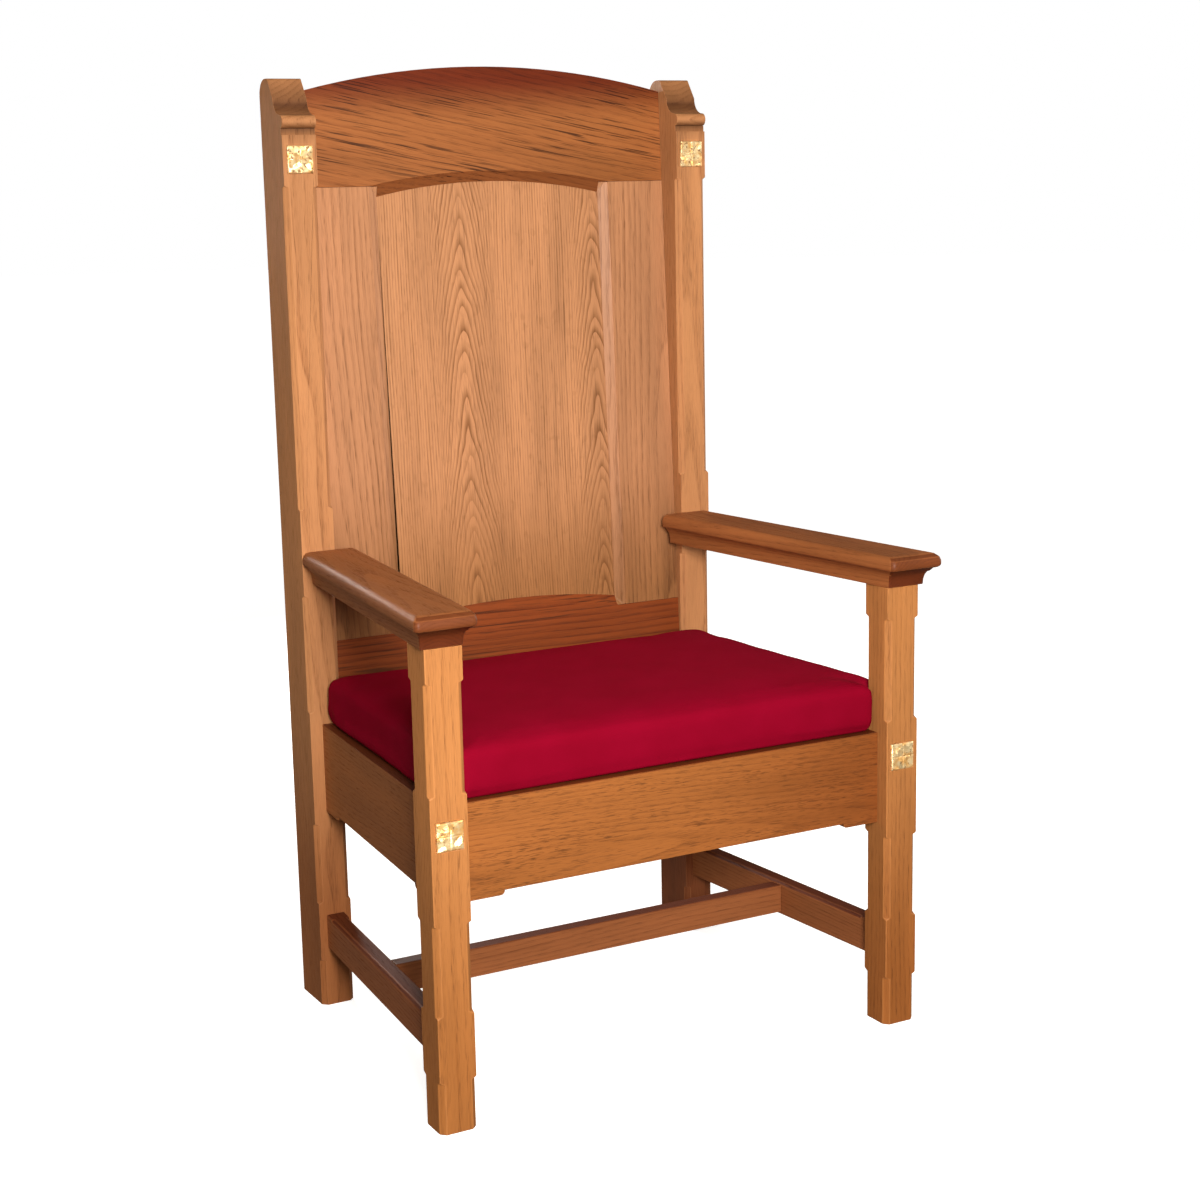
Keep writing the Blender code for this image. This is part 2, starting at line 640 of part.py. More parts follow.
def back_panel():
    panel = solid("back_panel", panel_shape(), OAK)
    panel.parent = BACK_FRAME
    return panel


# Gilded tiles

def tile_mesh():
    """Square tile quartered by a sunk cross, its face towards -Y and its back at Y = 0."""
    bm = bmesh.new()
    bmesh.ops.create_grid(bm, x_segments=2, y_segments=2, size=TILE / 2)
    quarters = list(bm.faces)
    pushed = bmesh.ops.extrude_face_region(bm, geom=quarters)["geom"]
    tops = [part for part in pushed if isinstance(part, bmesh.types.BMFace)]
    corners = [part for part in pushed if isinstance(part, bmesh.types.BMVert)]
    bmesh.ops.translate(bm, verts=corners, vec=(0.0, 0.0, TILE_THICK))
    bmesh.ops.inset_individual(bm, faces=tops, thickness=TILE_GROOVE, depth=0.0)
    bmesh.ops.translate(bm, verts=list({v for face in tops for v in face.verts}), vec=(0.0, 0.0, TILE_RELIEF))
    bmesh.ops.rotate(bm, verts=bm.verts, matrix=Matrix.Rotation(math.radians(90), 3, "X"))
    return bm


def gilt_tiles():
    first = solid("gilt_tile_leg_left", tile_mesh(), GILT)
    places = (("leg", LEG_X, Y_LEG_FRONT, LEG_TILE_Z), ("post", POST_X, Y_POST_FRONT, POST_TILE_Z))
    for place, x, face, z in places:
        for word, side in SIDES:
            name = f"gilt_tile_{place}_{word}"
            tile = first
            if name != first.name:
                tile = bpy.data.objects.new(name, first.data)
                bpy.context.scene.collection.objects.link(tile)
            tile.location = (side * x, face + TILE_SUNK, z)


# Seat board, corner blocks, cleats and their screws

def turned(profile):
    """A turned shape about Z from its (height, radius) steps."""
    turn = [2 * math.pi * i / SCREW_SIDES for i in range(SCREW_SIDES)]
    return loft([[(radius * math.cos(a), radius * math.sin(a), z) for a in turn] for z, radius in profile])


def screw_pose(head, direction):
    """Where a screw sits: its own Z runs from the top of its head to its point."""
    return Matrix.Translation(head) @ Vector(direction).to_track_quat("Z", "Y").to_matrix().to_4x4()


def screw(name, head, direction, length):
    shape = turned(((0.0, SCREW_HEAD_RADIUS), (SCREW_HEAD, SCREW_HEAD_RADIUS),
                    (SCREW_HEAD, SCREW_RADIUS), (length, SCREW_RADIUS)))
    piece = solid(name, shape, STEEL)
    piece.matrix_world = screw_pose(head, direction)
    return piece


def screw_hole(head, direction, length, sink=PAST):
    """Hole for a screw, with the bore that lets its head in from outside."""
    bore = SCREW_HEAD_RADIUS + GAP
    shank = SCREW_RADIUS + GAP
    seat = SCREW_HEAD + GAP
    shape = turned(((-sink, bore), (seat, bore), (seat, shank), (length + GAP, shank)))
    bmesh.ops.transform(shape, matrix=screw_pose(head, direction), verts=shape.verts)
    return shape


def corner_places():
    """Each corner of the seat: name, side, rail face, post or leg face and inner side, way in."""
    for word, side in SIDES:
        yield f"front_{word}", side, Y_FRONT_RAIL + RAIL_THICK, Y_LEG_BACK, LEG_INNER, 1
        yield f"rear_{word}", side, Y_REAR_RAIL, Y_POST_FRONT, POST_INNER, -1


def block_outline(side, rail_face, upright_face, upright_inner, way):
    """Plan of a corner block: along one rail, round the leg or post, and along the side rail."""
    near = rail_face + way * GAP
    step = upright_face + way * GAP
    far = upright_face + way * BLOCK_BESIDE
    inner = upright_inner - GAP
    outline = [(inner, near), (inner - BLOCK_ALONG, near), (rail_inner(far) - GAP, far),
               (rail_inner(step) - GAP, step), (inner, step)]
    return [(side * x, y) for x, y in outline]


def rail_screw(side, rail_face, upright_inner, way):
    """Corner block screw into the front or rear rail."""
    x = side * (upright_inner - BLOCK_SCREW_PLACE)
    head = (x, rail_face + way * (BLOCK_GRIP + SCREW_HEAD), BLOCK_LOW + BLOCK_HEIGHT / 3)
    return head, (0.0, -way, 0.0), BLOCK_GRIP + SCREW_HEAD + SCREW_BITE


def beside_screw(side, upright_face, way):
    """Corner block screw into the side rail."""
    y = upright_face + way * BLOCK_SCREW_PLACE
    x = rail_inner(y) - BLOCK_GRIP - SCREW_HEAD
    return (side * x, y, BLOCK_TOP - BLOCK_HEIGHT / 3), (side, 0.0, 0.0), BLOCK_GRIP + SCREW_HEAD + SCREW_BITE


def board_screw(side, upright_face, upright_inner, way):
    """Screw up through a corner block into the seat board."""
    x = side * (upright_inner - BOARD_SCREW_PLACE)
    y = upright_face + way * BOARD_SCREW_PLACE
    return (x, y, BLOCK_TOP - BLOCK_GRIP - SCREW_HEAD), (0.0, 0.0, 1.0), BLOCK_GRIP + SCREW_HEAD + BOARD_BITE


def cleat_span():
    """Ends of a cleat, between the two corner blocks beside it."""
    return Y_LEG_BACK + BLOCK_BESIDE + CLEAT_SPACE, Y_POST_FRONT - BLOCK_BESIDE - CLEAT_SPACE


def cleat_screws(side):
    start, end = cleat_span()
    for i in range(CLEAT_SCREWS):
        y = start + CLEAT_SCREW_END + (end - start - 2 * CLEAT_SCREW_END) * i / (CLEAT_SCREWS - 1)
        x = rail_inner(y) - CLEAT
        yield (side * x, y, BLOCK_TOP - CLEAT / 2), (side, 0.0, 0.0), CLEAT + SCREW_BITE


def seat_cleat(word, side):
    start, end = cleat_span()
    line = line_between(start, rail_inner(start) - GAP - CLEAT / 2, end, rail_inner(end) - GAP - CLEAT / 2)
    body = follow(box((-CLEAT / 2, start, BLOCK_TOP - CLEAT), (CLEAT / 2, end, BLOCK_TOP)), line, side)
    cleat = solid(f"seat_cleat_{word}", body, PLAIN_WOOD)
    return work(cleat, "DIFFERENCE", [screw_hole(*place) for place in cleat_screws(side)])


def seat_board():
    front = Y_FRONT_RAIL + RAIL_THICK + GAP
    back = Y_REAR_RAIL - GAP
    leg = Y_LEG_BACK + GAP
    post = Y_POST_FRONT - GAP
    half = [(LEG_INNER - GAP, front), (LEG_INNER - GAP, leg), (rail_inner(leg) - GAP, leg),
            (rail_inner(post) - GAP, post), (POST_INNER - GAP, post), (POST_INNER - GAP, back)]
    outline = half + [(-x, y) for x, y in half[::-1]]
    board = solid("seat_board", prism(outline, "Z", BOARD_LOW, RAIL_TOP), PLYWOOD)
    holes = [screw_hole(*board_screw(side, face, inner, way))
             for _, side, _, face, inner, way in corner_places()]
    return work(board, "DIFFERENCE", holes)


def seat_corners(rails):
    """Corner blocks with their screws, and the holes that the screws make in the rails."""
    for word, side, rail_face, face, inner, way in corner_places():
        outline = block_outline(side, rail_face, face, inner, way)
        block = solid(f"corner_block_{word}", prism(outline, "Z", BLOCK_LOW, BLOCK_TOP), PLAIN_WOOD)
        across = rail_screw(side, rail_face, inner, way)
        beside = beside_screw(side, face, way)
        upright = board_screw(side, face, inner, way)
        work(block, "DIFFERENCE", [screw_hole(*place, BLOCK_HEIGHT) for place in (across, beside, upright)])
        end, hand = word.split("_")
        work(rails[end], "DIFFERENCE", [screw_hole(*across)])
        work(rails[hand], "DIFFERENCE", [screw_hole(*beside)])
        screw(f"corner_block_screw_{word}_{end}_rail", *across)
        screw(f"corner_block_screw_{word}_side_rail", *beside)
        screw(f"seat_board_screw_{word}", *upright)


def seat_cleats(rails):
    for word, side in SIDES:
        seat_cleat(word, side)
        work(rails[word], "DIFFERENCE", [screw_hole(*place) for place in cleat_screws(side)])
        for number, place in enumerate(cleat_screws(side), 1):
            screw(f"seat_cleat_screw_{word}_{number}", *place)


# Cushion

def cushion_rows():
    """Y of each row of the cushion's plan, with one row at the notches for the front legs."""
    front = Y_FRONT_RAIL + CUSHION_FRONT
    notch = Y_LEG_BACK + CUSHION_SPACE
    back = Y_POST_FRONT - CUSHION_SPACE
    return [front] + [notch + (back - notch) * i / CUSHION_ROWS for i in range(CUSHION_ROWS + 1)]


def cushion_half(y):
    """Half width of the cushion behind the front legs, drawn in between its corners."""
    rows = cushion_rows()
    share = (y - rows[1]) / (rows[-1] - rows[1])
    edge = rail_line(y) + RAIL_THICK / 2 - CUSHION_LEDGE
    return edge - CUSHION_DRAW * math.sin(math.pi * share)


def seat_cushion():
    rows = cushion_rows()
    inner = LEG_INNER - CUSHION_SPACE
    shares = [2 * i / CUSHION_COLUMNS - 1 for i in range(CUSHION_COLUMNS + 1)]
    middle_y = (rows[0] + rows[-1]) / 2
    depth = (rows[-1] - rows[0]) / 2

    def row_points(index, y):
        half = inner if index == 0 else inner * cushion_half(y) / cushion_half(rows[1])
        points = [(half * share, y) for share in shares]
        if index == 0:
            return points
        return [(-cushion_half(y), y)] + points + [(cushion_half(y), y)]

    def drawn(x, y, index):
        if index in (0, len(rows) - 1):
            pull = CUSHION_DRAW * max(0.0, math.cos(math.pi * x / (2 * inner)))
            return y + pull if index == 0 else y - pull
        return y

    bm = bmesh.new()
    grid = [[bm.verts.new((x, drawn(x, y, index) - middle_y, 0.0)) for x, y in row_points(index, y)]
            for index, y in enumerate(rows)]
    for index, (near, far) in enumerate(zip(grid, grid[1:])):
        beyond = far[1:-1] if index == 0 else far
        for i in range(len(near) - 1):
            bm.faces.new((near[i], near[i + 1], beyond[i + 1], beyond[i]))
    pushed = bmesh.ops.extrude_face_region(bm, geom=list(bm.faces))["geom"]
    for vert in (part for part in pushed if isinstance(part, bmesh.types.BMVert)):
        across = min(1.0, abs(vert.co.x) / cushion_half(rows[1]))
        along = min(1.0, abs(vert.co.y) / depth)
        vert.co.z = CUSHION_HEIGHT + CUSHION_CROWN * (1 - across ** 3) * (1 - along ** 3)
    bm.normal_update()
    bmesh.ops.recalc_face_normals(bm, faces=bm.faces)
    weight = bm.edges.layers.float.new("bevel_weight_edge")
    for edge in bm.edges:
        edge[weight] = float(edge.calc_face_angle_signed() > CUSHION_SHARP)
    cushion = solid("seat_cushion", bm, CRIMSON)
    cushion.location = (0.0, middle_y, RAIL_TOP + GAP)
    rounding = cushion.modifiers.new("soft edges", "BEVEL")
    rounding.width = CUSHION_RADIUS
    rounding.segments = 3
    rounding.limit_method = "WEIGHT"
    return cushion


clear_scene()

OAK = finish_material("lacquered oak", (0.48, 0.22, 0.09), 0.38)
GILT = finish_material("gold leaf", (0.90, 0.70, 0.32), 0.30, 1.0)
PLYWOOD = finish_material("birch plywood", (0.66, 0.48, 0.30), 0.60)
PLAIN_WOOD = finish_material("unfinished beech", (0.60, 0.42, 0.26), 0.65)
STEEL = finish_material("zinc plated steel", (0.62, 0.62, 0.64), 0.35, 1.0)
CRIMSON = finish_material("crimson cloth", (0.32, 0.005, 0.03), 0.85)

BACK_FRAME = bpy.data.objects.new("back_frame", None)
BACK_FRAME.matrix_world = BACK_PLACE
bpy.context.scene.collection.objects.link(BACK_FRAME)

seat_rails = {
    "front": cross_rail("front_seat_rail", LEG_INNER, Y_FRONT_RAIL, front_rail_tenon),
    "rear": cross_rail("rear_seat_rail", POST_INNER, Y_REAR_RAIL, rear_rail_tenon)}
for hand_word, hand_side in SIDES:
    front_leg(hand_word, hand_side)
    rear_post(hand_word, hand_side)
    seat_rails[hand_word] = side_rail(hand_word, hand_side)
    side_stretcher(hand_word, hand_side)
    arm(hand_word, hand_side)
    back_stile(hand_word, hand_side)
cross_stretcher()
crest_rail()
bottom_rail()
back_panel()
gilt_tiles()
seat_corners(seat_rails)
seat_cleats(seat_rails)
seat_board()
seat_cushion()
shade_rounds()
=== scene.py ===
import math

import bmesh
import bpy
from mathutils import Matrix, Vector


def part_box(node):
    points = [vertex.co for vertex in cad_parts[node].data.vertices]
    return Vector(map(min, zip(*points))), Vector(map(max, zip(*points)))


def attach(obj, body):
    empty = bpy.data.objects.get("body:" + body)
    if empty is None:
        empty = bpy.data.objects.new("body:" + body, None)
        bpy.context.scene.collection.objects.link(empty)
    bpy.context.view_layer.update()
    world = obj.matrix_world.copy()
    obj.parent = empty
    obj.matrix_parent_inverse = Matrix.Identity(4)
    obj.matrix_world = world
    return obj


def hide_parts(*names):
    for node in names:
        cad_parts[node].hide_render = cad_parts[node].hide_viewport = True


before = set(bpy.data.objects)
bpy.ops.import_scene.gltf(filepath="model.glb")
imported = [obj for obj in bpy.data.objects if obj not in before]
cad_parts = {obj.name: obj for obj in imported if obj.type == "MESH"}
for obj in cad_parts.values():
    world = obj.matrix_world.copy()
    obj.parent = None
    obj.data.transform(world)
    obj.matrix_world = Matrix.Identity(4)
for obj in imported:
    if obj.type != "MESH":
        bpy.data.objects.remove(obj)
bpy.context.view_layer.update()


# Rear posts. Two sticks of rift-sawn oak, floor to top, planed and chamfered between plain blocks.
# Their tops are worked to a cove, bead and fillet. Like all the oak here they are stained honey
# brown, rubbed at the edges and finished with satin lacquer that leaves the pores open.

HANDS = {"left": -1, "right": 1}        # which way across the chair each lies
ACROSS, BACK, UP = 0, 1, 2              # axes of the chair
ARRIS = 0.0012                          # how far the block plane takes a sharp edge back
ARRIS_ANGLE = math.radians(32)          # edges sharper than this are eased
CRISP_ANGLE = math.radians(46)          # edges sharper than this stay crisp under the light
SAME_POINT = 0.00002
SAME_PLANE = math.radians(0.6)
# How close the markings of oak lie, to the metre, across the grain and along it
WANDERS = (9.0, 2.2)
FIBRES = (330.0, 7.0)
PORES = (1500.0, 42.0)
CROWDS = (26.0, 5.0)
PATCHES = (22.0, 3.0)
WAVERS = (20.0, 9.0)
RAYS = (160.0, 70.0, 60.0)              # round the heart, out from it and along it
WANDER = 0.016                          # how far the fibres leave a straight line
FLAME_STEP = 0.032                      # from one arch to the next
FLAME_FALL = 25.0                       # how steeply an arch falls to each side
FLAME_POWER = 1.5                       # 1 is a pointed arch and 2 a round one
FLAME_WAVER = 0.10                      # how far an arch strays from its place
FLAME_CORE = 0.35                       # share of the half width where the arches are full
PORE_DEPTH = 0.0003
RUBBED = 1.2                            # how much paler a rubbed edge is
PORE = (0.060, 0.020, 0.007, 1.0)       # dirt and stain in the open pores
SHADE_AND_STAIN_TINT = (0.34, 0.18, 0.13, 1.0)      # tint of painted shade in hollows and under things, and of stain on end grain
POST_PALE = (0.535, 0.235, 0.093, 1.0)
POST_DEEP = (0.290, 0.100, 0.030, 1.0)
# the tint of painted shade on the worked top of a post
POST_PAINTED_SHADE_TINT = (0.12, 0.075, 0.045, 1.0)
POST_HEART_ASIDE = 0.010                # the tree's heart, to one side of the post
POST_HEART_BEHIND = 0.085               # and behind it
POST_LOG_MIDDLE = {"left": 0.54, "right": 0.76}
POST_LEAN = 0.6                         # degrees, of the grain
# Painted shade under the seat, darker towards the floor, heaviest on the right post
POST_LOW_PAINTED_SHADE = {"left": (0.64, 0.51, 0.41, 1.0), "right": (0.42, 0.28, 0.24, 1.0)}
POST_FOOT_SHADE = (0.44, 0.12)          # heights where the painted shade low on the post starts and is full
POST_SIDE, POST_BACK = 0.3, 0.2         # normals past these lie on the sides and the back
# Painted shade on the worked top, as (down from the top, share): the roll, the hollow, then the quirk under
# the bead
POST_TOP_PAINTED_SHADE = ((0.0, 0.28), (0.012, 0.30), (0.027, 0.62), (0.036, 0.90), (0.044, 0.75), (0.0485, 0.30),
              (0.050, 0.0), (0.058, 0.05), (0.064, 0.50), (0.068, 0.80), (0.0745, 0.80), (0.0755, 0.0))


def feed(tree, node, inputs):
    """Links or sets a node's sockets."""
    for key, value in inputs.items():
        if isinstance(value, bpy.types.NodeSocket):
            tree.links.new(value, node.inputs[key])
        else:
            node.inputs[key].default_value = value


def add_node(tree, kind, inputs, **settings):
    made = tree.nodes.new(kind)
    for key, value in settings.items():
        setattr(made, key, value)
    feed(tree, made, inputs)
    return made


def reckon(tree, operation, *values):
    return add_node(tree, "ShaderNodeMath", dict(enumerate(values)), operation=operation).outputs[0]


def combine(tree, operation, *vectors):
    inputs = dict(enumerate(vectors))
    return add_node(tree, "ShaderNodeVectorMath", inputs, operation=operation).outputs[0]


def parts_of(tree, vector):
    return add_node(tree, "ShaderNodeSeparateXYZ", {0: vector}).outputs


def stretch(tree, vector, across, along):
    """The log's own coordinates, closer together across the grain than along it."""
    return combine(tree, "MULTIPLY", vector, (across, across, along))


def cloud(tree, vector, detail=2.0, scale=1.0, output=0):
    """Soft noise: output 0 is grey, output 1 three independent parts."""
    inputs = {"Vector": vector, "Scale": scale, "Detail": detail}
    return add_node(tree, "ShaderNodeTexNoise", inputs).outputs[output]


def steps(tree, share, *stops):
    """A grey ramp through (place, brightness) stops."""
    made = add_node(tree, "ShaderNodeValToRGB", {0: share})
    ramp = made.color_ramp
    while len(ramp.elements) < len(stops):
        ramp.elements.new(1.0)
    for element, (place, value) in zip(ramp.elements, stops):
        element.position = place
        element.color = (value, value, value, 1.0)
    return made.outputs[0]


def between(tree, value, start, full):
    """Rises smoothly from 0 at the start to 1 where it is full."""
    inputs = {"Value": value, "From Min": start, "From Max": full}
    return add_node(tree, "ShaderNodeMapRange", inputs, interpolation_type="SMOOTHSTEP").outputs[0]


def layer(tree, share, under, over, way="MIX"):
    inputs = {0: share, 6: under, 7: over}
    return add_node(tree, "ShaderNodeMix", inputs, data_type="RGBA", blend_type=way).outputs[2]


def bump(tree, height, strength, distance, **more):
    inputs = {"Height": height, "Strength": strength, "Distance": distance, **more}
    return add_node(tree, "ShaderNodeBump", inputs).outputs[0]


def new_finish(name):
    """An empty finish: the material, its node tree, its shader and the place on the piece."""
    finish = bpy.data.materials.new(name)
    finish.use_nodes = True
    tree = finish.node_tree
    place = add_node(tree, "ShaderNodeTexCoord", {}).outputs["Object"]
    return finish, tree, tree.nodes["Principled BSDF"], place


def in_log(tree, place, turn, heart=(0.0, 0.0, 0.0)):
    """The place in a log whose Z, turned by degrees, runs along the grain through the heart."""
    turned = tuple(math.radians(angle) for angle in turn)
    inputs = {"Vector": place, "Location": heart, "Rotation": turned}
    return add_node(tree, "ShaderNodeMapping", inputs, vector_type="TEXTURE").outputs[0]


def year_rings(tree, years):
    """Porous spring wood at the start of each year, and how porous each year was."""
    season = reckon(tree, "FRACT", years)
    spring = steps(tree, season, (0.0, 0.0), (0.06, 1.0), (0.34, 0.5), (0.62, 0.08), (1.0, 0.0))
    inputs = {"W": reckon(tree, "FLOOR", years)}
    year = add_node(tree, "ShaderNodeTexWhiteNoise", inputs, noise_dimensions="1D").outputs[0]
    return spring, steps(tree, year, (0.0, 0.35), (1.0, 1.0))


def oak_finish(name, heart, turn, pale, deep, ring=0.0046, rise=0.12, reach=0.035, figure=0.8,
               dashes=(0.06, 430.0, 26.0), flames=(), shades=(), shade_and_stain_tint=SHADE_AND_STAIN_TINT):
    """Stained and lacquered oak, cut from a log whose heart passes through a point of the chair.

    Each year's ring is a cone about the heart, so wide faces near it show arched figure and faces far
    from it show straight lines. Dashes are long open pores: strength, and how close across and along.
    Flames are (middle, half width, lift) of stacked arches. Shades are (axis, place where it starts,
    place where it is full, tint) of painted shade low down or to one side, or of uneven stain. The last
    argument is the tint of painted shade in hollows and under things, and of stain on end grain.
    """
    finish, tree, lacquer, place = new_finish(name)
    log = in_log(tree, place, turn, heart)
    drift = combine(tree, "SUBTRACT", cloud(tree, stretch(tree, log, *WANDERS), output=1), (0.5, 0.5, 0.5))
    wood = combine(tree, "ADD", log, combine(tree, "MULTIPLY", drift, (WANDER, WANDER, 0.0)))
    x, y, z = parts_of(tree, wood)

    # Rings of the years, with porous spring wood at the start of each
    squares = reckon(tree, "MULTIPLY", x, x), reckon(tree, "MULTIPLY", y, y)
    radius = reckon(tree, "SQRT", reckon(tree, "ADD", *squares))
    spread = reckon(tree, "ADD", 1.0, reckon(tree, "POWER", reckon(tree, "DIVIDE", radius, reach), 2.0))
    cone = reckon(tree, "DIVIDE", reckon(tree, "MULTIPLY", z, rise), spread)
    spring, good_year = year_rings(tree, reckon(tree, "DIVIDE", reckon(tree, "ADD", radius, cone), ring))
    streak = steps(tree, cloud(tree, stretch(tree, wood, *FIBRES)), (0.34, 0.25), (0.62, 1.0))
    porous = reckon(tree, "MULTIPLY", reckon(tree, "MULTIPLY", spring, good_year), streak)
    porous = reckon(tree, "MULTIPLY", porous, figure)

    # Stacked arches where the saw came close to the heart
    for middle, half, lift in flames:
        aside = reckon(tree, "ABSOLUTE", reckon(tree, "SUBTRACT", x, middle))
        fall = reckon(tree, "MULTIPLY", reckon(tree, "POWER", aside, FLAME_POWER), FLAME_FALL)
        waver = reckon(tree, "MULTIPLY", cloud(tree, stretch(tree, wood, *WAVERS)), FLAME_WAVER)
        climb = reckon(tree, "ADD", reckon(tree, "ADD", z, fall), reckon(tree, "ADD", waver, lift))
        arch, good_arch = year_rings(tree, reckon(tree, "DIVIDE", climb, FLAME_STEP))
        broken = reckon(tree, "MULTIPLY_ADD", streak, 0.4, 0.6)
        arch = reckon(tree, "MULTIPLY", reckon(tree, "MULTIPLY", arch, good_arch), broken)
        near = between(tree, aside, half, half * FLAME_CORE)
        porous = add_node(tree, "ShaderNodeMix", {0: near, 2: porous, 3: arch}).outputs[0]

    # Open pores, and the rays that cross the rings
    in_spring = reckon(tree, "ADD", 0.25, reckon(tree, "MULTIPLY", spring, 0.75))
    pore = steps(tree, cloud(tree, stretch(tree, wood, *PORES), 1.0), (0.52, 0.0), (0.66, 1.0))
    pore = reckon(tree, "MULTIPLY", pore, in_spring)
    polar = (reckon(tree, "ARCTAN2", y, x), radius, z)
    polar = {axis: reckon(tree, "MULTIPLY", part, RAYS[axis]) for axis, part in enumerate(polar)}
    polar = add_node(tree, "ShaderNodeCombineXYZ", polar).outputs[0]
    ray = steps(tree, cloud(tree, polar, 1.0), (0.64, 0.0), (0.72, 1.0))
    strength, across, along = dashes
    dash = steps(tree, cloud(tree, stretch(tree, wood, across, along), 1.0), (0.58, 0.0), (0.66, 1.0))
    crowd = steps(tree, cloud(tree, stretch(tree, wood, *CROWDS), 1.0), (0.36, 0.2), (0.58, 1.0))
    dash = reckon(tree, "MULTIPLY", dash, crowd)

    # Stain taken up unevenly, painted shade low down, in hollows and under things, and edges rubbed pale by
    # hands and cloths
    patch = cloud(tree, stretch(tree, wood, *PATCHES), 3.0)
    stain = steps(tree, patch, (0.25, 0.74), (0.72, 1.0))
    colour = layer(tree, porous, pale, deep)
    colour = layer(tree, reckon(tree, "MULTIPLY", ray, 0.14), colour, deep)
    colour = layer(tree, reckon(tree, "MULTIPLY", pore, 0.5), colour, PORE)
    colour = layer(tree, reckon(tree, "MULTIPLY", dash, strength), colour, PORE)
    colour = layer(tree, 1.0, colour, stain, "MULTIPLY")
    # Painted shade low down or to one side, and uneven stain, along one axis
    for axis, start, full, tint in shades:
        share = between(tree, parts_of(tree, place)[axis], start, full)
        colour = layer(tree, share, colour, layer(tree, 1.0, colour, tint, "MULTIPLY"))
    # Painted shade in hollows and under things, with stain on end grain
    shade_and_stain = add_node(tree, "ShaderNodeAttribute", {}, attribute_name="shade_and_stain").outputs["Fac"]
    colour = layer(tree, shade_and_stain, colour, layer(tree, 1.0, colour, shade_and_stain_tint, "MULTIPLY"))
    worn = add_node(tree, "ShaderNodeAttribute", {}, attribute_name="worn").outputs["Fac"]
    bare = tuple(min(1.0, part * RUBBED) for part in pale[:3]) + (1.0,)
    rubbed = reckon(tree, "MULTIPLY", worn, reckon(tree, "MULTIPLY", patch, 0.5))
    colour = layer(tree, rubbed, colour, bare)

    rough = reckon(tree, "ADD", 0.44, reckon(tree, "MULTIPLY", pore, 0.3))
    rough = reckon(tree, "ADD", rough, reckon(tree, "MULTIPLY", patch, 0.16))
    sunk = reckon(tree, "ADD", reckon(tree, "MULTIPLY", pore, 0.7), reckon(tree, "MULTIPLY", porous, 0.3))
    relief = bump(tree, reckon(tree, "SUBTRACT", 1.0, sunk), 0.5, PORE_DEPTH)
    feed(tree, lacquer, {"Base Color": colour, "Roughness": rough, "Normal": relief,
                         "Specular IOR Level": 0.17, "Coat Weight": 0.03, "Coat Roughness": 0.22})
    return finish


def put_in_scene(name, data):
    made = bpy.data.objects.new(name, data)
    bpy.context.scene.collection.objects.link(made)
    return made


def as_mesh(name, shape):
    """The mesh of a bmesh, which is then done with."""
    mesh = bpy.data.meshes.new(name)
    shape.to_mesh(mesh)
    shape.free()
    return mesh


def eased_copy(node, finish, ease=ARRIS, shade_and_stain_at=None):
    """The finished piece for one solid: the same shape with every sharp outer edge eased.

    The last argument, given a corner's place and its face's normal, says how much painted shade and stain
    lie there.
    """
    shape = bmesh.new()
    shape.from_mesh(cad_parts[node].data)
    bmesh.ops.remove_doubles(shape, verts=shape.verts[:], dist=SAME_POINT)
    bmesh.ops.dissolve_limit(shape, angle_limit=SAME_PLANE, verts=shape.verts[:], edges=shape.edges[:])
    shape.normal_update()
    sharp = [edge for edge in shape.edges
             if edge.is_manifold and edge.calc_face_angle_signed() > ARRIS_ANGLE]
    worn = shape.faces.layers.float.new("worn")
    cut = bmesh.ops.bevel(shape, geom=sharp, offset=ease, offset_type="OFFSET", affect="EDGES", segments=2,
                          profile=0.5, clamp_overlap=True, material=-1)
    for face in cut["faces"]:
        face[worn] = 1.0
    if shade_and_stain_at:
        shape.normal_update()
        shade_and_stain = shape.loops.layers.float.new("shade_and_stain")
        for face in shape.faces:
            for corner in face.loops:
                corner[shade_and_stain] = shade_and_stain_at(corner.vert.co, face.normal)
    mesh = as_mesh(f"{node}_finished", shape)
    mesh.materials.append(finish)
    mesh.shade_smooth()
    mesh.set_sharp_from_angle(angle=CRISP_ANGLE)
    piece = put_in_scene(f"{node}_finished", mesh)
    flat_faces = piece.modifiers.new("flat faces", "WEIGHTED_NORMAL")
    flat_faces.keep_sharp = True
    flat_faces.weight = 100
    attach(piece, "chair_frame")
    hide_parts(node)


def post_top_shade(place, normal):
    """Painted shade on the worked front of the top, by how far down it lies."""
    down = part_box("rear_post_left")[1].z - place.z
    if abs(normal.x) > POST_SIDE or normal.y > POST_BACK:
        return 0.0
    for (above, share), (below, next_share) in zip(POST_TOP_PAINTED_SHADE, POST_TOP_PAINTED_SHADE[1:]):
        if above <= down < below:
            return share + (next_share - share) * (down - above) / (below - above)
    return 0.0


for hand, side in HANDS.items():
    low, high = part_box(f"rear_post_{hand}")
    heart = (low.x + side * POST_HEART_ASIDE, high.y + POST_HEART_BEHIND, POST_LOG_MIDDLE[hand])
    post_oak = oak_finish(f"rear post oak {hand}", heart, (0.0, POST_LEAN * side, 0.0), POST_PALE, POST_DEEP,
                          figure=0.6, shades=((UP, *POST_FOOT_SHADE, POST_LOW_PAINTED_SHADE[hand]),),
                          shade_and_stain_tint=POST_PAINTED_SHADE_TINT)
    eased_copy(f"rear_post_{hand}", post_oak, shade_and_stain_at=post_top_shade)


# Front legs. Square oak sticks from the floor to the arms, with stopped chamfers on every corner
# between the plain blocks, mortised for the rails and stretchers and tenoned up into the arms.

LEG_PALE = (0.520, 0.210, 0.064, 1.0)
LEG_DEEP = (0.330, 0.112, 0.026, 1.0)
LEG_HEART = 0.060                       # behind the leg, and to its side
LEG_LOG_MIDDLE = {"left": 0.37, "right": 0.23}
LEG_LEAN = (0.5, -0.4)                  # degrees, of the grain
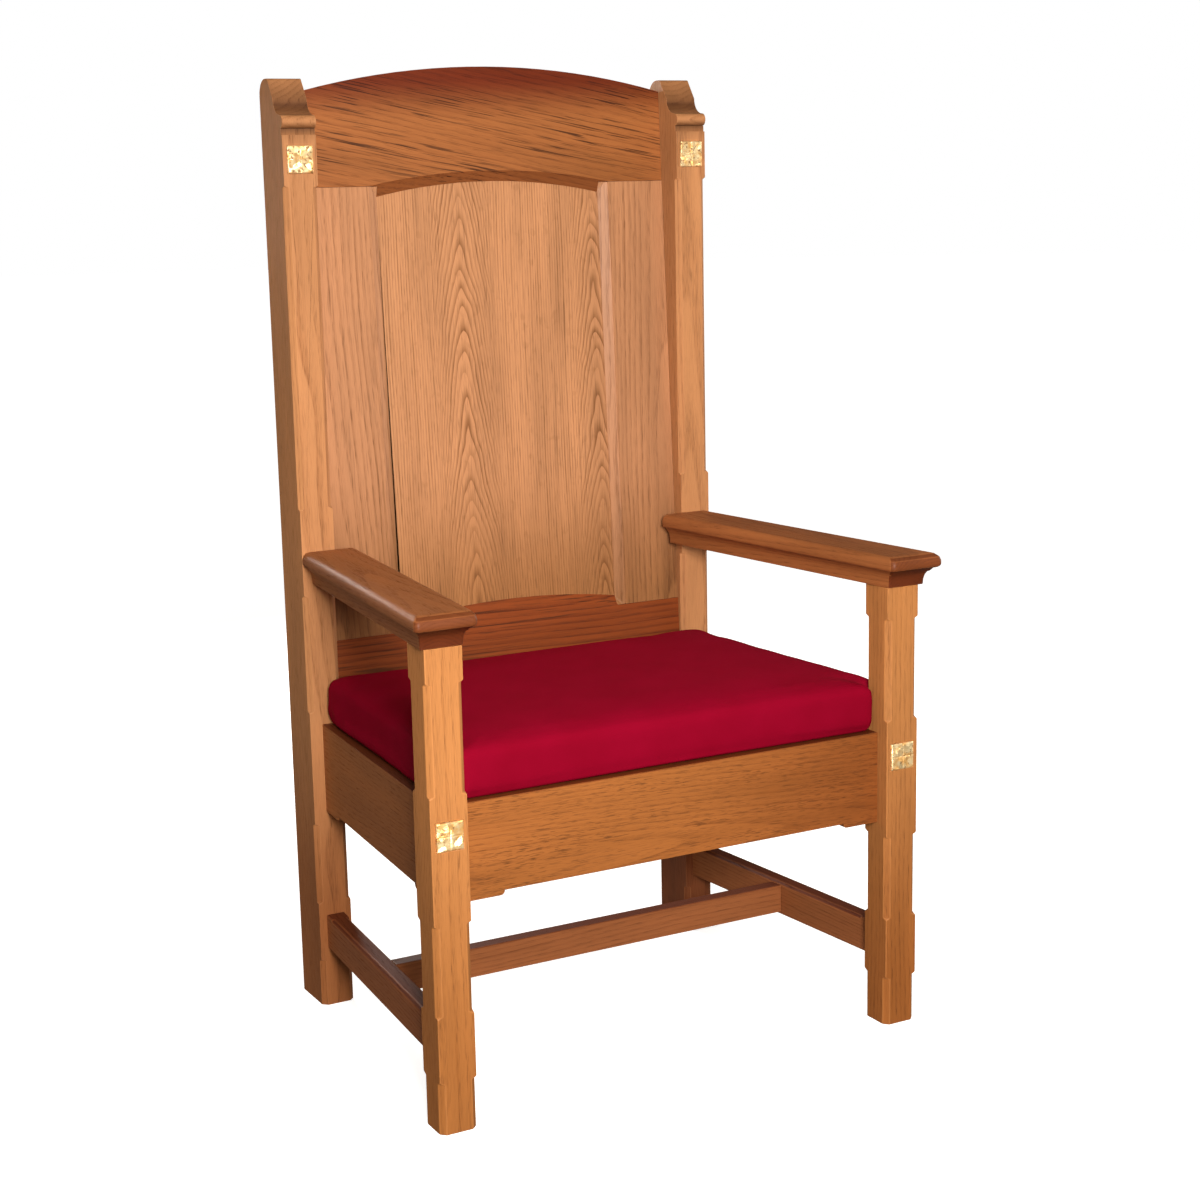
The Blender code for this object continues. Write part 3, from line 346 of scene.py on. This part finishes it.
# Painted shade, darker towards the floor, where the lamp's light falls off
LEG_LOW_PAINTED_SHADE = {"left": (0.82, 0.74, 0.62, 1.0), "right": (0.72, 0.59, 0.45, 1.0)}
LEG_FOOT_SHADE = (0.45, 0.05)

for hand, side in HANDS.items():
    low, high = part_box(f"front_leg_{hand}")
    heart = (high.x + LEG_HEART * side, high.y + LEG_HEART, LEG_LOG_MIDDLE[hand])
    leg_oak = oak_finish(f"front leg oak {hand}", heart, (LEG_LEAN[0], LEG_LEAN[1] * side, 0.0),
                         LEG_PALE, LEG_DEEP, figure=0.4,
                         shades=((UP, *LEG_FOOT_SHADE, LEG_LOW_PAINTED_SHADE[hand]),))
    eased_copy(f"front_leg_{hand}", leg_oak)


# Seat rails. Four deep oak boards tenoned into the legs and posts, each lower edge cut away between
# quarter-round shoulders. The front one is flat-sawn, with flame figure and short dark pores.

RAIL_PALE = (0.390, 0.130, 0.030, 1.0)
RAIL_DEEP = (0.200, 0.056, 0.010, 1.0)
RAIL_PAINTED_SHADE = (0.74, 0.64, 0.60, 1.0)    # painted shade, darker and browner towards the right-hand leg
RAIL_SHADE = (-0.05, 0.33)
RAIL_HEART = Vector((0.08, 0.034, 0.02))            # from the middle, the face and the lower edge
RAIL_GRAIN = (0.0, 91.2, 0.0)           # degrees, from upright to lying across
REAR_RAIL_HEART = Vector((-0.1, 0.03, 0.01))        # from the middle, the back and the top
REAR_RAIL_GRAIN = (0.0, 89.0, 0.0)
SIDE_RAIL_PALE = (0.360, 0.124, 0.036, 1.0)
SIDE_RAIL_DEEP = (0.210, 0.062, 0.016, 1.0)
SIDE_RAIL_HEART = (0.05, 0.03)          # outside the rail and below it
LAID_BACK = -90.0                       # degrees, from upright to lying front to back
SPLAY = 4.3                             # degrees, of the side rails and stretchers
TOP_FACE = 0.35                         # a normal past this looks up
# painted shade on top faces under the seat
TOP_PAINTED_SHADE = 0.9


def top_painted_shade_at(place, normal):
    """Painted shade on a top edge, in the shadow of the seat."""
    return TOP_PAINTED_SHADE if normal.z > TOP_FACE else 0.0


low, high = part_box("front_seat_rail")
heart = Vector((0.0, low.y, low.z)) + RAIL_HEART
front_rail_oak = oak_finish("front seat rail oak", heart, RAIL_GRAIN, RAIL_PALE, RAIL_DEEP,
                            ring=0.0062, rise=0.05, reach=0.06, figure=0.5, dashes=(0.6, 950.0, 62.0),
                            shades=((ACROSS, *RAIL_SHADE, RAIL_PAINTED_SHADE),))
eased_copy("front_seat_rail", front_rail_oak, shade_and_stain_at=top_painted_shade_at)
low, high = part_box("rear_seat_rail")
heart = Vector((0.0, high.y, high.z)) + REAR_RAIL_HEART
rear_rail_oak = oak_finish("rear seat rail oak", heart, REAR_RAIL_GRAIN, SIDE_RAIL_PALE, SIDE_RAIL_DEEP,
                           ring=0.0055, rise=0.14, reach=0.05)
eased_copy("rear_seat_rail", rear_rail_oak)
for hand, side in HANDS.items():
    low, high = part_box(f"side_seat_rail_{hand}")
    heart = ((low.x + high.x) / 2 + side * SIDE_RAIL_HEART[0], 0.0, low.z - SIDE_RAIL_HEART[1])
    side_rail_oak = oak_finish(f"side seat rail oak {hand}", heart, (LAID_BACK, 0.0, SPLAY * side),
                               SIDE_RAIL_PALE, SIDE_RAIL_DEEP, ring=0.0055, rise=0.10, reach=0.05,
                               figure=0.45)
    eased_copy(f"side_seat_rail_{hand}", side_rail_oak, shade_and_stain_at=top_painted_shade_at)


# Stretchers. A flat oak rail low on each side, chamfered along its upper edges, and a lighter one
# tenoned between their middles. They took the stain redder than the legs.

STRETCHER_PALE = (0.330, 0.108, 0.036, 1.0)
STRETCHER_DEEP = (0.180, 0.046, 0.012, 1.0)
STRETCHER_HEART = (0.045, 0.05, 0.05)   # inside it, along it and above it
CROSS_HEART = Vector((0.0, 0.05, 0.04))             # behind it and above it
CROSS_GRAIN = (0.0, 90.6, 0.0)

for hand, side in HANDS.items():
    low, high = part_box(f"side_stretcher_{hand}")
    inside, along, above = STRETCHER_HEART
    heart = ((low.x + high.x) / 2 - side * inside, -along * side, high.z + above)
    stretcher_oak = oak_finish(f"side stretcher oak {hand}", heart, (LAID_BACK, 0.0, SPLAY * side),
                               STRETCHER_PALE, STRETCHER_DEEP, figure=0.6)
    eased_copy(f"side_stretcher_{hand}", stretcher_oak, shade_and_stain_at=top_painted_shade_at)
low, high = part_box("cross_stretcher")
heart = Vector((0.0, high.y, high.z)) + CROSS_HEART
cross_oak = oak_finish("cross stretcher oak", heart, CROSS_GRAIN, STRETCHER_PALE, STRETCHER_DEEP,
                       figure=0.6)
eased_copy("cross_stretcher", cross_oak, shade_and_stain_at=top_painted_shade_at)


# Back panel. Flat-sawn oak boards glued edge to edge and let into a groove all round, raked with the
# back. Two of the boards pass close to the heart and show arched figure, the others run straight.

RAKE = -2.8                             # degrees, of the back's frame
PANEL_PALE = (0.575, 0.264, 0.118, 1.0)
PANEL_DEEP = (0.185, 0.066, 0.018, 1.0)
PANEL_LOW_PAINTED_SHADE = (0.63, 0.58, 0.44, 1.0)   # painted shade, darker low on the back
PANEL_SHADE = (0.78, 0.52)
PANEL_HEART = (-0.360, 0.290, 0.80)     # far enough to the left for straight lines
PANEL_FLAMES = ((-0.050 - PANEL_HEART[0], 0.064, 0.0), (0.160 - PANEL_HEART[0], 0.046, 0.013))

panel_oak = oak_finish("back panel oak", PANEL_HEART, (RAKE, 0.0, 0.0), PANEL_PALE, PANEL_DEEP,
                       ring=0.0040, rise=0.02, figure=0.8, dashes=(0.2, 430.0, 9.0), flames=PANEL_FLAMES,
                       shades=((UP, *PANEL_SHADE, PANEL_LOW_PAINTED_SHADE),))
eased_copy("back_panel", panel_oak)


# Back stiles. Upright oak boards beside the panel, grooved for it, with a bevelled inner edge.
# They are paler and pinker than the rails.

STILE_PALE = (0.515, 0.234, 0.108, 1.0)
STILE_DEEP = (0.240, 0.088, 0.030, 1.0)
STILE_HEART = (0.05, 0.05, 0.8)         # outside the stile, behind it and up it
STILE_LEAN = 0.5                        # degrees, of the grain

for hand, side in HANDS.items():
    low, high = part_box(f"back_stile_{hand}")
    outside, behind, up_it = STILE_HEART
    heart = ((low.x + high.x) / 2 + side * outside, high.y + behind, up_it)
    stile_oak = oak_finish(f"back stile oak {hand}", heart, (RAKE, STILE_LEAN * side, 0.0),
                           STILE_PALE, STILE_DEEP, figure=0.8, dashes=(0.2, 430.0, 18.0),
                           # painted shade low on the stile, as on the panel
                           shades=((UP, *PANEL_SHADE, PANEL_LOW_PAINTED_SHADE),))
    eased_copy(f"back_stile_{hand}", stile_oak)


# Back rails. The bottom rail with its low arch, and the deep crest rail with an arched top, both
# tenoned into the posts. Their grain runs across, and the crest's streaks slope to the right.

BOTTOM_PALE = (0.255, 0.054, 0.011, 1.0)
BOTTOM_DEEP = (0.090, 0.014, 0.003, 1.0)
BOTTOM_HEART = Vector((0.0, 0.03, -0.05))           # behind the rail and below it
BOTTOM_GRAIN = (0.0, 90.5, 0.0)
CREST_PALE = (0.370, 0.124, 0.034, 1.0)
CREST_DEEP = (0.160, 0.040, 0.009, 1.0)
CREST_HEART = Vector((0.0, 0.04, -0.07))
CREST_GRAIN = (0.0, 101.0, 0.0)         # well out of level
CREST_STAIN = (0.40, 0.16, 0.09, 1.0)   # red and dark along the arched top
CREST_SHADE = (0.080, 0.015)            # down from the top of the arch
CREST_ARRIS = 0.0018
LIP_FACE = -0.25                        # a normal past this looks down
# painted shadow line along the lower edge
LIP_PAINTED_SHADE = 0.45


def crest_lip_shade(place, normal):
    """A painted shadow line on the lower edge, where it meets the panel."""
    return LIP_PAINTED_SHADE if normal.z < LIP_FACE else 0.0


low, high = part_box("back_bottom_rail")
heart = Vector((0.0, high.y, low.z)) + BOTTOM_HEART
bottom_oak = oak_finish("back bottom rail oak", heart, BOTTOM_GRAIN, BOTTOM_PALE, BOTTOM_DEEP,
                        ring=0.0088, rise=0.06, figure=0.95, dashes=(0.7, 330.0, 9.0))
eased_copy("back_bottom_rail", bottom_oak)
low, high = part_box("back_crest_rail")
heart = Vector((0.0, high.y, low.z)) + CREST_HEART
start, full = (high.z - down for down in CREST_SHADE)
crest_oak = oak_finish("back crest rail oak", heart, CREST_GRAIN, CREST_PALE, CREST_DEEP,
                       ring=0.0080, rise=0.10, figure=0.55, dashes=(0.9, 520.0, 10.0),
                       shades=((UP, start, full, CREST_STAIN),))
eased_copy("back_crest_rail", crest_oak, ease=CREST_ARRIS, shade_and_stain_at=crest_lip_shade)


# Arms. Oak boards with a bull-nosed edge, a step and a hollow moulding run round the front and
# sides, tenoned into the posts behind and dropped over the legs in front.

ARM_PALE = (0.365, 0.122, 0.037, 1.0)
ARM_DEEP = (0.200, 0.056, 0.016, 1.0)
ARM_HEART = (0.012, 0.1, 0.03)          # outside the arm's middle, along it and below it
ARM_TURN = 5.9                          # degrees, from straight ahead
ARM_ARRIS = 0.0008
ARM_NOSE = 0.045                        # length of the worked front
ARM_FASCIA = 0.019                      # height of its nose, over the hollow
ARM_FRONT = -0.3                        # a normal past this looks forward
# End grain of the nose takes stain; the hollow under it is darker still with painted shade
NOSE_STAIN, HOLLOW_STAIN_AND_SHADE = 0.7, 0.95


def arm_front(place, normal):
    """End grain of the nose takes some stain, and the hollow under it is darker with stain and painted
    shade.
    """
    low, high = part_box("arm_left")
    if normal.y > ARM_FRONT or place.y > low.y + ARM_NOSE:
        return 0.0
    return NOSE_STAIN if place.z > high.z - ARM_FASCIA else HOLLOW_STAIN_AND_SHADE


for hand, side in HANDS.items():
    low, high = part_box(f"arm_{hand}")
    outside, along, below = ARM_HEART
    heart = ((low.x + high.x) / 2 + side * outside, along * side, low.z - below)
    arm_oak = oak_finish(f"arm oak {hand}", heart, (LAID_BACK, 0.0, ARM_TURN * side), ARM_PALE, ARM_DEEP,
                         ring=0.0052, rise=0.10, reach=0.05, figure=0.5)
    eased_copy(f"arm_{hand}", arm_oak, ease=ARM_ARRIS, shade_and_stain_at=arm_front)


# Gilded tiles. Small square tiles, quartered by a sunk cross, covered with crinkled gold leaf and
# let into the blocks of the posts and legs. Thin spots let the brown ground show.

LEAF = (0.93, 0.53, 0.18, 1.0)
LEAF_PAINTED_HIGHLIGHT = (1.0, 0.78, 0.43, 1.0)
GROUND = (0.30, 0.15, 0.05, 1.0)
TILE_ARRIS = 0.0004
# How close the markings of the leaf lie, to the metre
CRINKLES = 95.0
FOLDS = 210.0
FLAKES = 240.0
FACETS = 120.0
FACET_TIP = 0.55                        # how far a patch of leaf leans
CRINKLE_DEPTH = 0.0014

gilding, tree, leaf, place = new_finish("gold leaf")
crinkle = cloud(tree, place, 2.0, CRINKLES)
fold = cloud(tree, place, 3.0, FOLDS)
flake = steps(tree, cloud(tree, place, 3.0, FLAKES), (0.35, 1.0), (0.42, 0.0))
# The leaf is paler on the crests of its crinkles, a painted highlight
gold = layer(tree, steps(tree, crinkle, (0.38, 0.0), (0.58, 1.0)), LEAF, LEAF_PAINTED_HIGHLIGHT)
# Each patch of leaf lies at its own small angle
facet = add_node(tree, "ShaderNodeTexVoronoi", {"Vector": place, "Scale": FACETS}).outputs["Color"]
tip = combine(tree, "SUBTRACT", facet, (0.5, 0.5, 0.5))
tip = combine(tree, "MULTIPLY", tip, (FACET_TIP, FACET_TIP, FACET_TIP))
flat = add_node(tree, "ShaderNodeNewGeometry", {}).outputs["Normal"]
tipped = combine(tree, "NORMALIZE", combine(tree, "ADD", flat, tip))
beaten = reckon(tree, "ADD", reckon(tree, "MULTIPLY", crinkle, 1.6), reckon(tree, "MULTIPLY", fold, 0.5))
feed(tree, leaf, {"Base Color": layer(tree, flake, gold, GROUND),
                  "Metallic": reckon(tree, "SUBTRACT", 0.62, reckon(tree, "MULTIPLY", flake, 0.6)),
                  "Roughness": reckon(tree, "ADD", 0.34, reckon(tree, "MULTIPLY", fold, 0.2)),
                  "Normal": bump(tree, beaten, 0.5, CRINKLE_DEPTH, Normal=tipped)})
for upright in ("leg", "post"):
    for hand in HANDS:
        eased_copy(f"gilt_tile_{upright}_{hand}", gilding, ease=TILE_ARRIS)


# Corner blocks and cleats. Sawn beech, left unfinished, glued and screwed inside the seat rails to
# carry the board. The wood is pale, close and flecked with short brown rays.

BEECH_PALE = (0.560, 0.375, 0.215, 1.0)
BEECH_FLECK = (0.330, 0.170, 0.080, 1.0)
BEECH_FLECKS = (900.0, 130.0)           # how close, across the grain and along it
BEECH_BANDS = (60.0, 4.0)
SAW_MARKS = (700.0, 60.0)
SAW_DEPTH = 0.0003
SAWN_ARRIS = 0.0006
BLOCK_GRAIN = (0.0, 90.0, 25.0)         # degrees, across the corner
CLEAT_GRAIN = (LAID_BACK, 0.0, 0.0)


def beech_finish(name, turn):
    """Unfinished beech, from a log turned by degrees."""
    finish, tree, wood, place = new_finish(name)
    log = in_log(tree, place, turn)
    fleck = steps(tree, cloud(tree, stretch(tree, log, *BEECH_FLECKS), 1.0), (0.60, 0.0), (0.68, 1.0))
    band = steps(tree, cloud(tree, stretch(tree, log, *BEECH_BANDS), 3.0), (0.3, 0.78), (0.7, 1.0))
    colour = layer(tree, reckon(tree, "MULTIPLY", fleck, 0.5), BEECH_PALE, BEECH_FLECK)
    saw = cloud(tree, stretch(tree, log, *SAW_MARKS))
    feed(tree, wood, {"Base Color": layer(tree, 1.0, colour, band, "MULTIPLY"),
                      "Roughness": reckon(tree, "ADD", 0.55, reckon(tree, "MULTIPLY", saw, 0.2)),
                      "Normal": bump(tree, saw, 0.3, SAW_DEPTH)})
    return finish


block_beech = beech_finish("corner block beech", BLOCK_GRAIN)
cleat_beech = beech_finish("cleat beech", CLEAT_GRAIN)
for hand in HANDS:
    for end in ("front", "rear"):
        eased_copy(f"corner_block_{end}_{hand}", block_beech, ease=SAWN_ARRIS)
    eased_copy(f"seat_cleat_{hand}", cleat_beech, ease=SAWN_ARRIS)


# Seat board. Birch plywood cut round the legs and posts, laid on the blocks and cleats and screwed
# from below. Its sawn edges show the plies.

BIRCH_PALE = (0.620, 0.460, 0.290, 1.0)
BIRCH_DEEP = (0.450, 0.290, 0.150, 1.0)
BIRCH_GRAIN = (5.0, 90.0, 30.0)         # how close, along the grain, across it and through the plies
BIRCH_DEPTH = 0.0002
BOARD_ARRIS = 0.0004
PLY = 0.0024                            # one pair of plies

plywood, tree, birch, place = new_finish("birch plywood")
swirl = cloud(tree, combine(tree, "MULTIPLY", place, BIRCH_GRAIN), 4.0)
figure = steps(tree, swirl, (0.35, 0.0), (0.65, 1.0))
low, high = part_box("seat_board")
depth = reckon(tree, "DIVIDE", reckon(tree, "SUBTRACT", parts_of(tree, place)[UP], low.z + PLY / 4), PLY)
ply = steps(tree, reckon(tree, "FRACT", depth), (0.0, 0.0), (0.46, 0.0), (0.52, 1.0), (0.98, 1.0))
colour = layer(tree, reckon(tree, "MULTIPLY", figure, 0.55), BIRCH_PALE, BIRCH_DEEP)
feed(tree, birch, {"Base Color": layer(tree, reckon(tree, "MULTIPLY", ply, 0.6), colour, BIRCH_DEEP),
                   "Roughness": reckon(tree, "ADD", 0.5, reckon(tree, "MULTIPLY", figure, 0.15)),
                   "Normal": bump(tree, swirl, 0.25, BIRCH_DEPTH)})
eased_copy("seat_board", plywood, ease=BOARD_ARRIS)


# Screws. Zinc plated steel wood screws, driven through the blocks and cleats into the rails and up
# into the seat board.

ZINC_PALE = (0.640, 0.640, 0.660, 1.0)
ZINC_DEEP = (0.430, 0.440, 0.470, 1.0)
ZINC_SPANGLES = 900.0                   # how close, to the metre
ZINC_BLOOM = 700.0
SPANGLE_DEPTH = 0.0002
SCREW_ARRIS = 0.0004

zinc, tree, steel, place = new_finish("zinc plate")
spangle = add_node(tree, "ShaderNodeTexVoronoi", {"Vector": place, "Scale": ZINC_SPANGLES}).outputs["Color"]
bloom = cloud(tree, place, 3.0, ZINC_BLOOM)
dull = steps(tree, bloom, (0.35, 0.0), (0.65, 1.0))
feed(tree, steel, {"Base Color": layer(tree, dull, ZINC_PALE, ZINC_DEEP),
                   "Roughness": reckon(tree, "ADD", 0.26, reckon(tree, "MULTIPLY", bloom, 0.25)),
                   "Metallic": 1.0, "Normal": bump(tree, spangle, 0.15, SPANGLE_DEPTH)})
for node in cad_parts:
    if "_screw_" in node:
        eased_copy(node, zinc, ease=SCREW_ARRIS)


# Seat cushion. A loose foam pad in a cover of matte crimson plain-weave cloth, boxed at the sides and
# crowned on top, cut round the front legs. It lies loose on the board and rails, flat only underneath.

CUSHION_TIGHTER = 0.0015                # cut smaller than the space, before the filling swells it
CUSHION_MESH = 0.0058
CUSHION_SWELL = 0.005                   # the furthest that a point of the cover moves
CUSHION_STEPS = 20                      # moments of the filling
CUSHION_SMOOTHING = 2                   # passes
CUSHION_CLEAR = 0.0012                  # from the front legs that stand in its notches
NOTCH_CORNER = 0.005                    # a point this near a notch's corner is drawn right into it
RESTING = 0.003                         # what is lower than this lies on the seat
CRIMSON = (0.240, 0.0013, 0.0165, 1.0)
CRIMSON_DEEP = (0.212, 0.0010, 0.0130, 1.0)
CRIMSON_SHEEN = (0.8, 0.01, 0.05, 1.0)
THREAD = 0.0009
THREAD_DEPTH = 0.0003
NAP = 14.0                              # how close, to the metre
SLUBS = 900.0


def settle(piece):
    """Makes what the modifiers show the piece's own mesh."""
    bpy.context.view_layer.update()
    shown = piece.evaluated_get(bpy.context.evaluated_depsgraph_get())
    piece.data = bpy.data.meshes.new_from_object(shown)
    piece.modifiers.clear()


shape = bmesh.new()
shape.from_mesh(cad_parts["seat_cushion"].data)
bmesh.ops.remove_doubles(shape, verts=shape.verts[:], dist=SAME_POINT)
shape.normal_update()
seat = min(vert.co.z for vert in shape.verts)
outward = {vert: vert.normal.copy() for vert in shape.verts}
for vert, normal in outward.items():
    lies_flat = vert.co.z < seat + SAME_POINT
    vert.co -= normal * CUSHION_TIGHTER
    if lies_flat:
        vert.co.z = seat
cushion = put_in_scene("seat_cushion_cover", as_mesh("seat_cushion_cover", shape))
even = cushion.modifiers.new("even cloth", "REMESH")
even.mode = "VOXEL"
even.voxel_size = CUSHION_MESH
settle(cushion)
resting = cushion.vertex_groups.new(name="resting")
resting.add([vert.index for vert in cushion.data.vertices if vert.co.z < seat + RESTING], 1.0, "REPLACE")
before = [vert.co.copy() for vert in cushion.data.vertices]
filling = cushion.modifiers.new("filling", "CLOTH")
filling.settings.quality = 6
filling.settings.mass = 0.3
filling.settings.tension_stiffness = 25.0
filling.settings.compression_stiffness = 25.0
filling.settings.bending_stiffness = 2.0
filling.settings.use_pressure = True
filling.settings.uniform_pressure_force = 4.0
filling.settings.effector_weights.gravity = 0.0
filling.settings.vertex_group_mass = "resting"
filling.point_cache.frame_start = 1
filling.point_cache.frame_end = CUSHION_STEPS
for moment in range(1, CUSHION_STEPS + 1):
    bpy.context.scene.frame_set(moment)
settle(cushion)
bpy.context.scene.frame_set(1)
for vert, start in zip(cushion.data.vertices, before):
    moved = vert.co - start
    if moved.length > CUSHION_SWELL:
        vert.co = start + moved.normalized() * CUSHION_SWELL
    vert.co.z = max(vert.co.z, seat)

# The cover is smoothed, and drawn out again to fill the seat between the posts and legs
shape = bmesh.new()
shape.from_mesh(cushion.data)
for _ in range(CUSHION_SMOOTHING):
    loose = [vert for vert in shape.verts if vert.co.z > seat + RESTING]
    bmesh.ops.smooth_vert(shape, verts=loose, factor=0.5, use_axis_x=True, use_axis_y=True, use_axis_z=True)
low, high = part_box("seat_cushion")
for axis in (ACROSS, BACK):
    places = [vert.co[axis] for vert in shape.verts]
    least = min(places)
    share = (high[axis] - low[axis]) / (max(places) - least)
    for vert in shape.verts:
        vert.co[axis] = low[axis] + (vert.co[axis] - least) * share
shape.to_mesh(cushion.data)
shape.free()
softer = cushion.modifiers.new("softer", "SUBSURF")
softer.levels = 1
softer.render_levels = 1
settle(cushion)

# Its notches stop short of the front legs
for hand, side in HANDS.items():
    low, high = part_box(f"front_leg_{hand}")
    inner = min(low.x * side, high.x * side) - CUSHION_CLEAR
    rear = high.y + CUSHION_CLEAR
    for vert in cushion.data.vertices:
        past_inner = vert.co.x * side - inner
        past_rear = rear - vert.co.y
        if min(past_inner, past_rear) > 0.0:
            in_corner = max(past_inner, past_rear) < NOTCH_CORNER
            if in_corner or past_inner < past_rear:
                vert.co.x = inner * side
            if in_corner or past_inner >= past_rear:
                vert.co.y = rear
cushion.data.shade_smooth()

cloth, tree, weave, place = new_finish("crimson cloth")
threads = combine(tree, "MULTIPLY", place, (2 * math.pi / THREAD,) * 3)
x, y, z = parts_of(tree, combine(tree, "SINE", threads))
crossing = reckon(tree, "MULTIPLY", x, reckon(tree, "ADD", y, z))
nap = cloud(tree, place, 2.0, NAP)
slub = cloud(tree, place, 2.0, SLUBS)
tone = reckon(tree, "ADD", reckon(tree, "MULTIPLY", nap, 0.7), reckon(tree, "MULTIPLY", slub, 0.3))
tone = steps(tree, tone, (0.35, 0.0), (0.65, 1.0))
feed(tree, weave, {"Base Color": layer(tree, tone, CRIMSON_DEEP, CRIMSON),
                   "Roughness": reckon(tree, "ADD", 0.78, reckon(tree, "MULTIPLY", slub, 0.2)),
                   "Normal": bump(tree, crossing, 0.25, THREAD_DEPTH), "Specular IOR Level": 0.03,
                   "Sheen Weight": 0.03, "Sheen Roughness": 0.45, "Sheen Tint": CRIMSON_SHEEN})
cushion.data.materials.clear()
cushion.data.materials.append(cloth)
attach(cushion, "cushion")
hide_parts("seat_cushion")


# Studio. A wide pale floor, a white surround, one large soft lamp beside the camera, and weaker lamps
# above, behind and at both sides. The camera stands in front and to the left, higher than the arms.

FLOOR_RADIUS = 30.0
FLOOR_FADE = 5.0                        # where the floor has turned white
SURROUND_RADIUS = 29.0
WHITE = (1.0, 1.0, 1.0, 1.0)
FLOOR_GREY = (0.80, 0.80, 0.80, 1.0)
ROOM_TINT = (1.0, 0.86, 0.70, 1.0)
ROOM_STRENGTH = 0.9
# Each lamp's place, what it is aimed at, its width, its watts and its colour
LAMPS = {
    "lamp by the camera": ((-0.85, -2.35, 1.30), (0.0, 0.0, 0.80), 0.8, 100.0, (1.0, 0.96, 0.91)),
    "lamp above": ((-0.3, -1.0, 2.8), (0.0, 0.0, 0.5), 1.8, 12.0, (1.0, 0.95, 0.88)),
    "lamp at the left": ((-3.0, 0.4, 1.1), (0.0, 0.0, 0.6), 1.4, 12.0, (1.0, 0.92, 0.82)),
    "lamp at the right": ((2.8, -0.2, 1.1), (0.0, 0.0, 0.6), 1.4, 34.0, (1.0, 0.95, 0.88)),
    "lamp behind": ((0.0, 2.7, 1.2), (0.0, 0.2, 0.7), 1.0, 55.0, (1.0, 0.95, 0.88)),
}
CAMERA_PLACE = Vector((-1.3407, -2.5085, 1.148))
CAMERA_YAW = math.radians(28.49)        # to the right of straight ahead
CAMERA_PITCH = math.radians(11.11)      # downwards
CAMERA_ROLL = math.radians(1.21)
LENS = 63.80
SENSOR = 36.0

shape = bmesh.new()
bmesh.ops.create_circle(shape, cap_ends=True, segments=96, radius=FLOOR_RADIUS)
floor = put_in_scene("floor", as_mesh("floor", shape))
paint, tree, surface, place = new_finish("pale floor paint")
away = add_node(tree, "ShaderNodeVectorMath", {0: place}, operation="LENGTH").outputs["Value"]
far = reckon(tree, "DIVIDE", away, FLOOR_FADE)
feed(tree, surface, {"Base Color": FLOOR_GREY, "Roughness": 0.9, "Specular IOR Level": 0.0,
                     "Emission Color": steps(tree, far, (0.0, 0.70), (0.25, 0.77), (1.0, 1.0)),
                     "Emission Strength": 1.0})
floor.data.materials.append(paint)
floor.visible_diffuse = False
floor.visible_glossy = False

shape = bmesh.new()
bmesh.ops.create_uvsphere(shape, u_segments=48, v_segments=24, radius=SURROUND_RADIUS)
surround = put_in_scene("white_surround", as_mesh("white_surround", shape))
screen, tree, surface, place = new_finish("white screen")
feed(tree, surface, {"Base Color": (0.0, 0.0, 0.0, 1.0), "Specular IOR Level": 0.0,
                     "Emission Color": WHITE, "Emission Strength": 1.0})
surround.data.materials.append(screen)
surround.visible_diffuse = False
surround.visible_glossy = False
surround.visible_shadow = False

world = bpy.data.worlds.new("dim room")
bpy.context.scene.world = world
world.use_nodes = True
tree = world.node_tree
direction = add_node(tree, "ShaderNodeTexCoord", {}).outputs["Generated"]
share = reckon(tree, "MULTIPLY_ADD", parts_of(tree, direction)[UP], 0.5, 0.5)
glow = steps(tree, share, (0.0, 0.22), (0.45, 0.16), (0.60, 0.10), (1.0, 0.14))
feed(tree, tree.nodes["Background"], {"Color": layer(tree, 1.0, glow, ROOM_TINT, "MULTIPLY"),
                                      "Strength": ROOM_STRENGTH})

for name, (place, aim, width, watts, colour) in LAMPS.items():
    lamp = bpy.data.lights.new(name, "AREA")
    lamp.shape = "DISK"
    lamp.size = width
    lamp.energy = watts
    lamp.color = colour
    stand = put_in_scene(name, lamp)
    stand.location = place
    stand.rotation_euler = (Vector(aim) - Vector(place)).to_track_quat("-Z", "Y").to_euler()
    stand.visible_camera = False

level = Vector((math.cos(CAMERA_YAW), -math.sin(CAMERA_YAW), 0.0))
ahead = Vector((math.sin(CAMERA_YAW), math.cos(CAMERA_YAW), 0.0))
forward = ahead * math.cos(CAMERA_PITCH) - Vector((0.0, 0.0, math.sin(CAMERA_PITCH)))
down = forward.cross(level)
across = level * math.cos(CAMERA_ROLL) + down * math.sin(CAMERA_ROLL)
up = level * math.sin(CAMERA_ROLL) - down * math.cos(CAMERA_ROLL)
camera = put_in_scene("camera", bpy.data.cameras.new("camera"))
camera.data.lens = LENS
camera.data.sensor_width = SENSOR
turned = Matrix((across, up, -forward)).transposed().to_4x4()
camera.matrix_world = Matrix.Translation(CAMERA_PLACE) @ turned
bpy.context.scene.camera = camera
bpy.context.scene.view_settings.view_transform = "Standard"
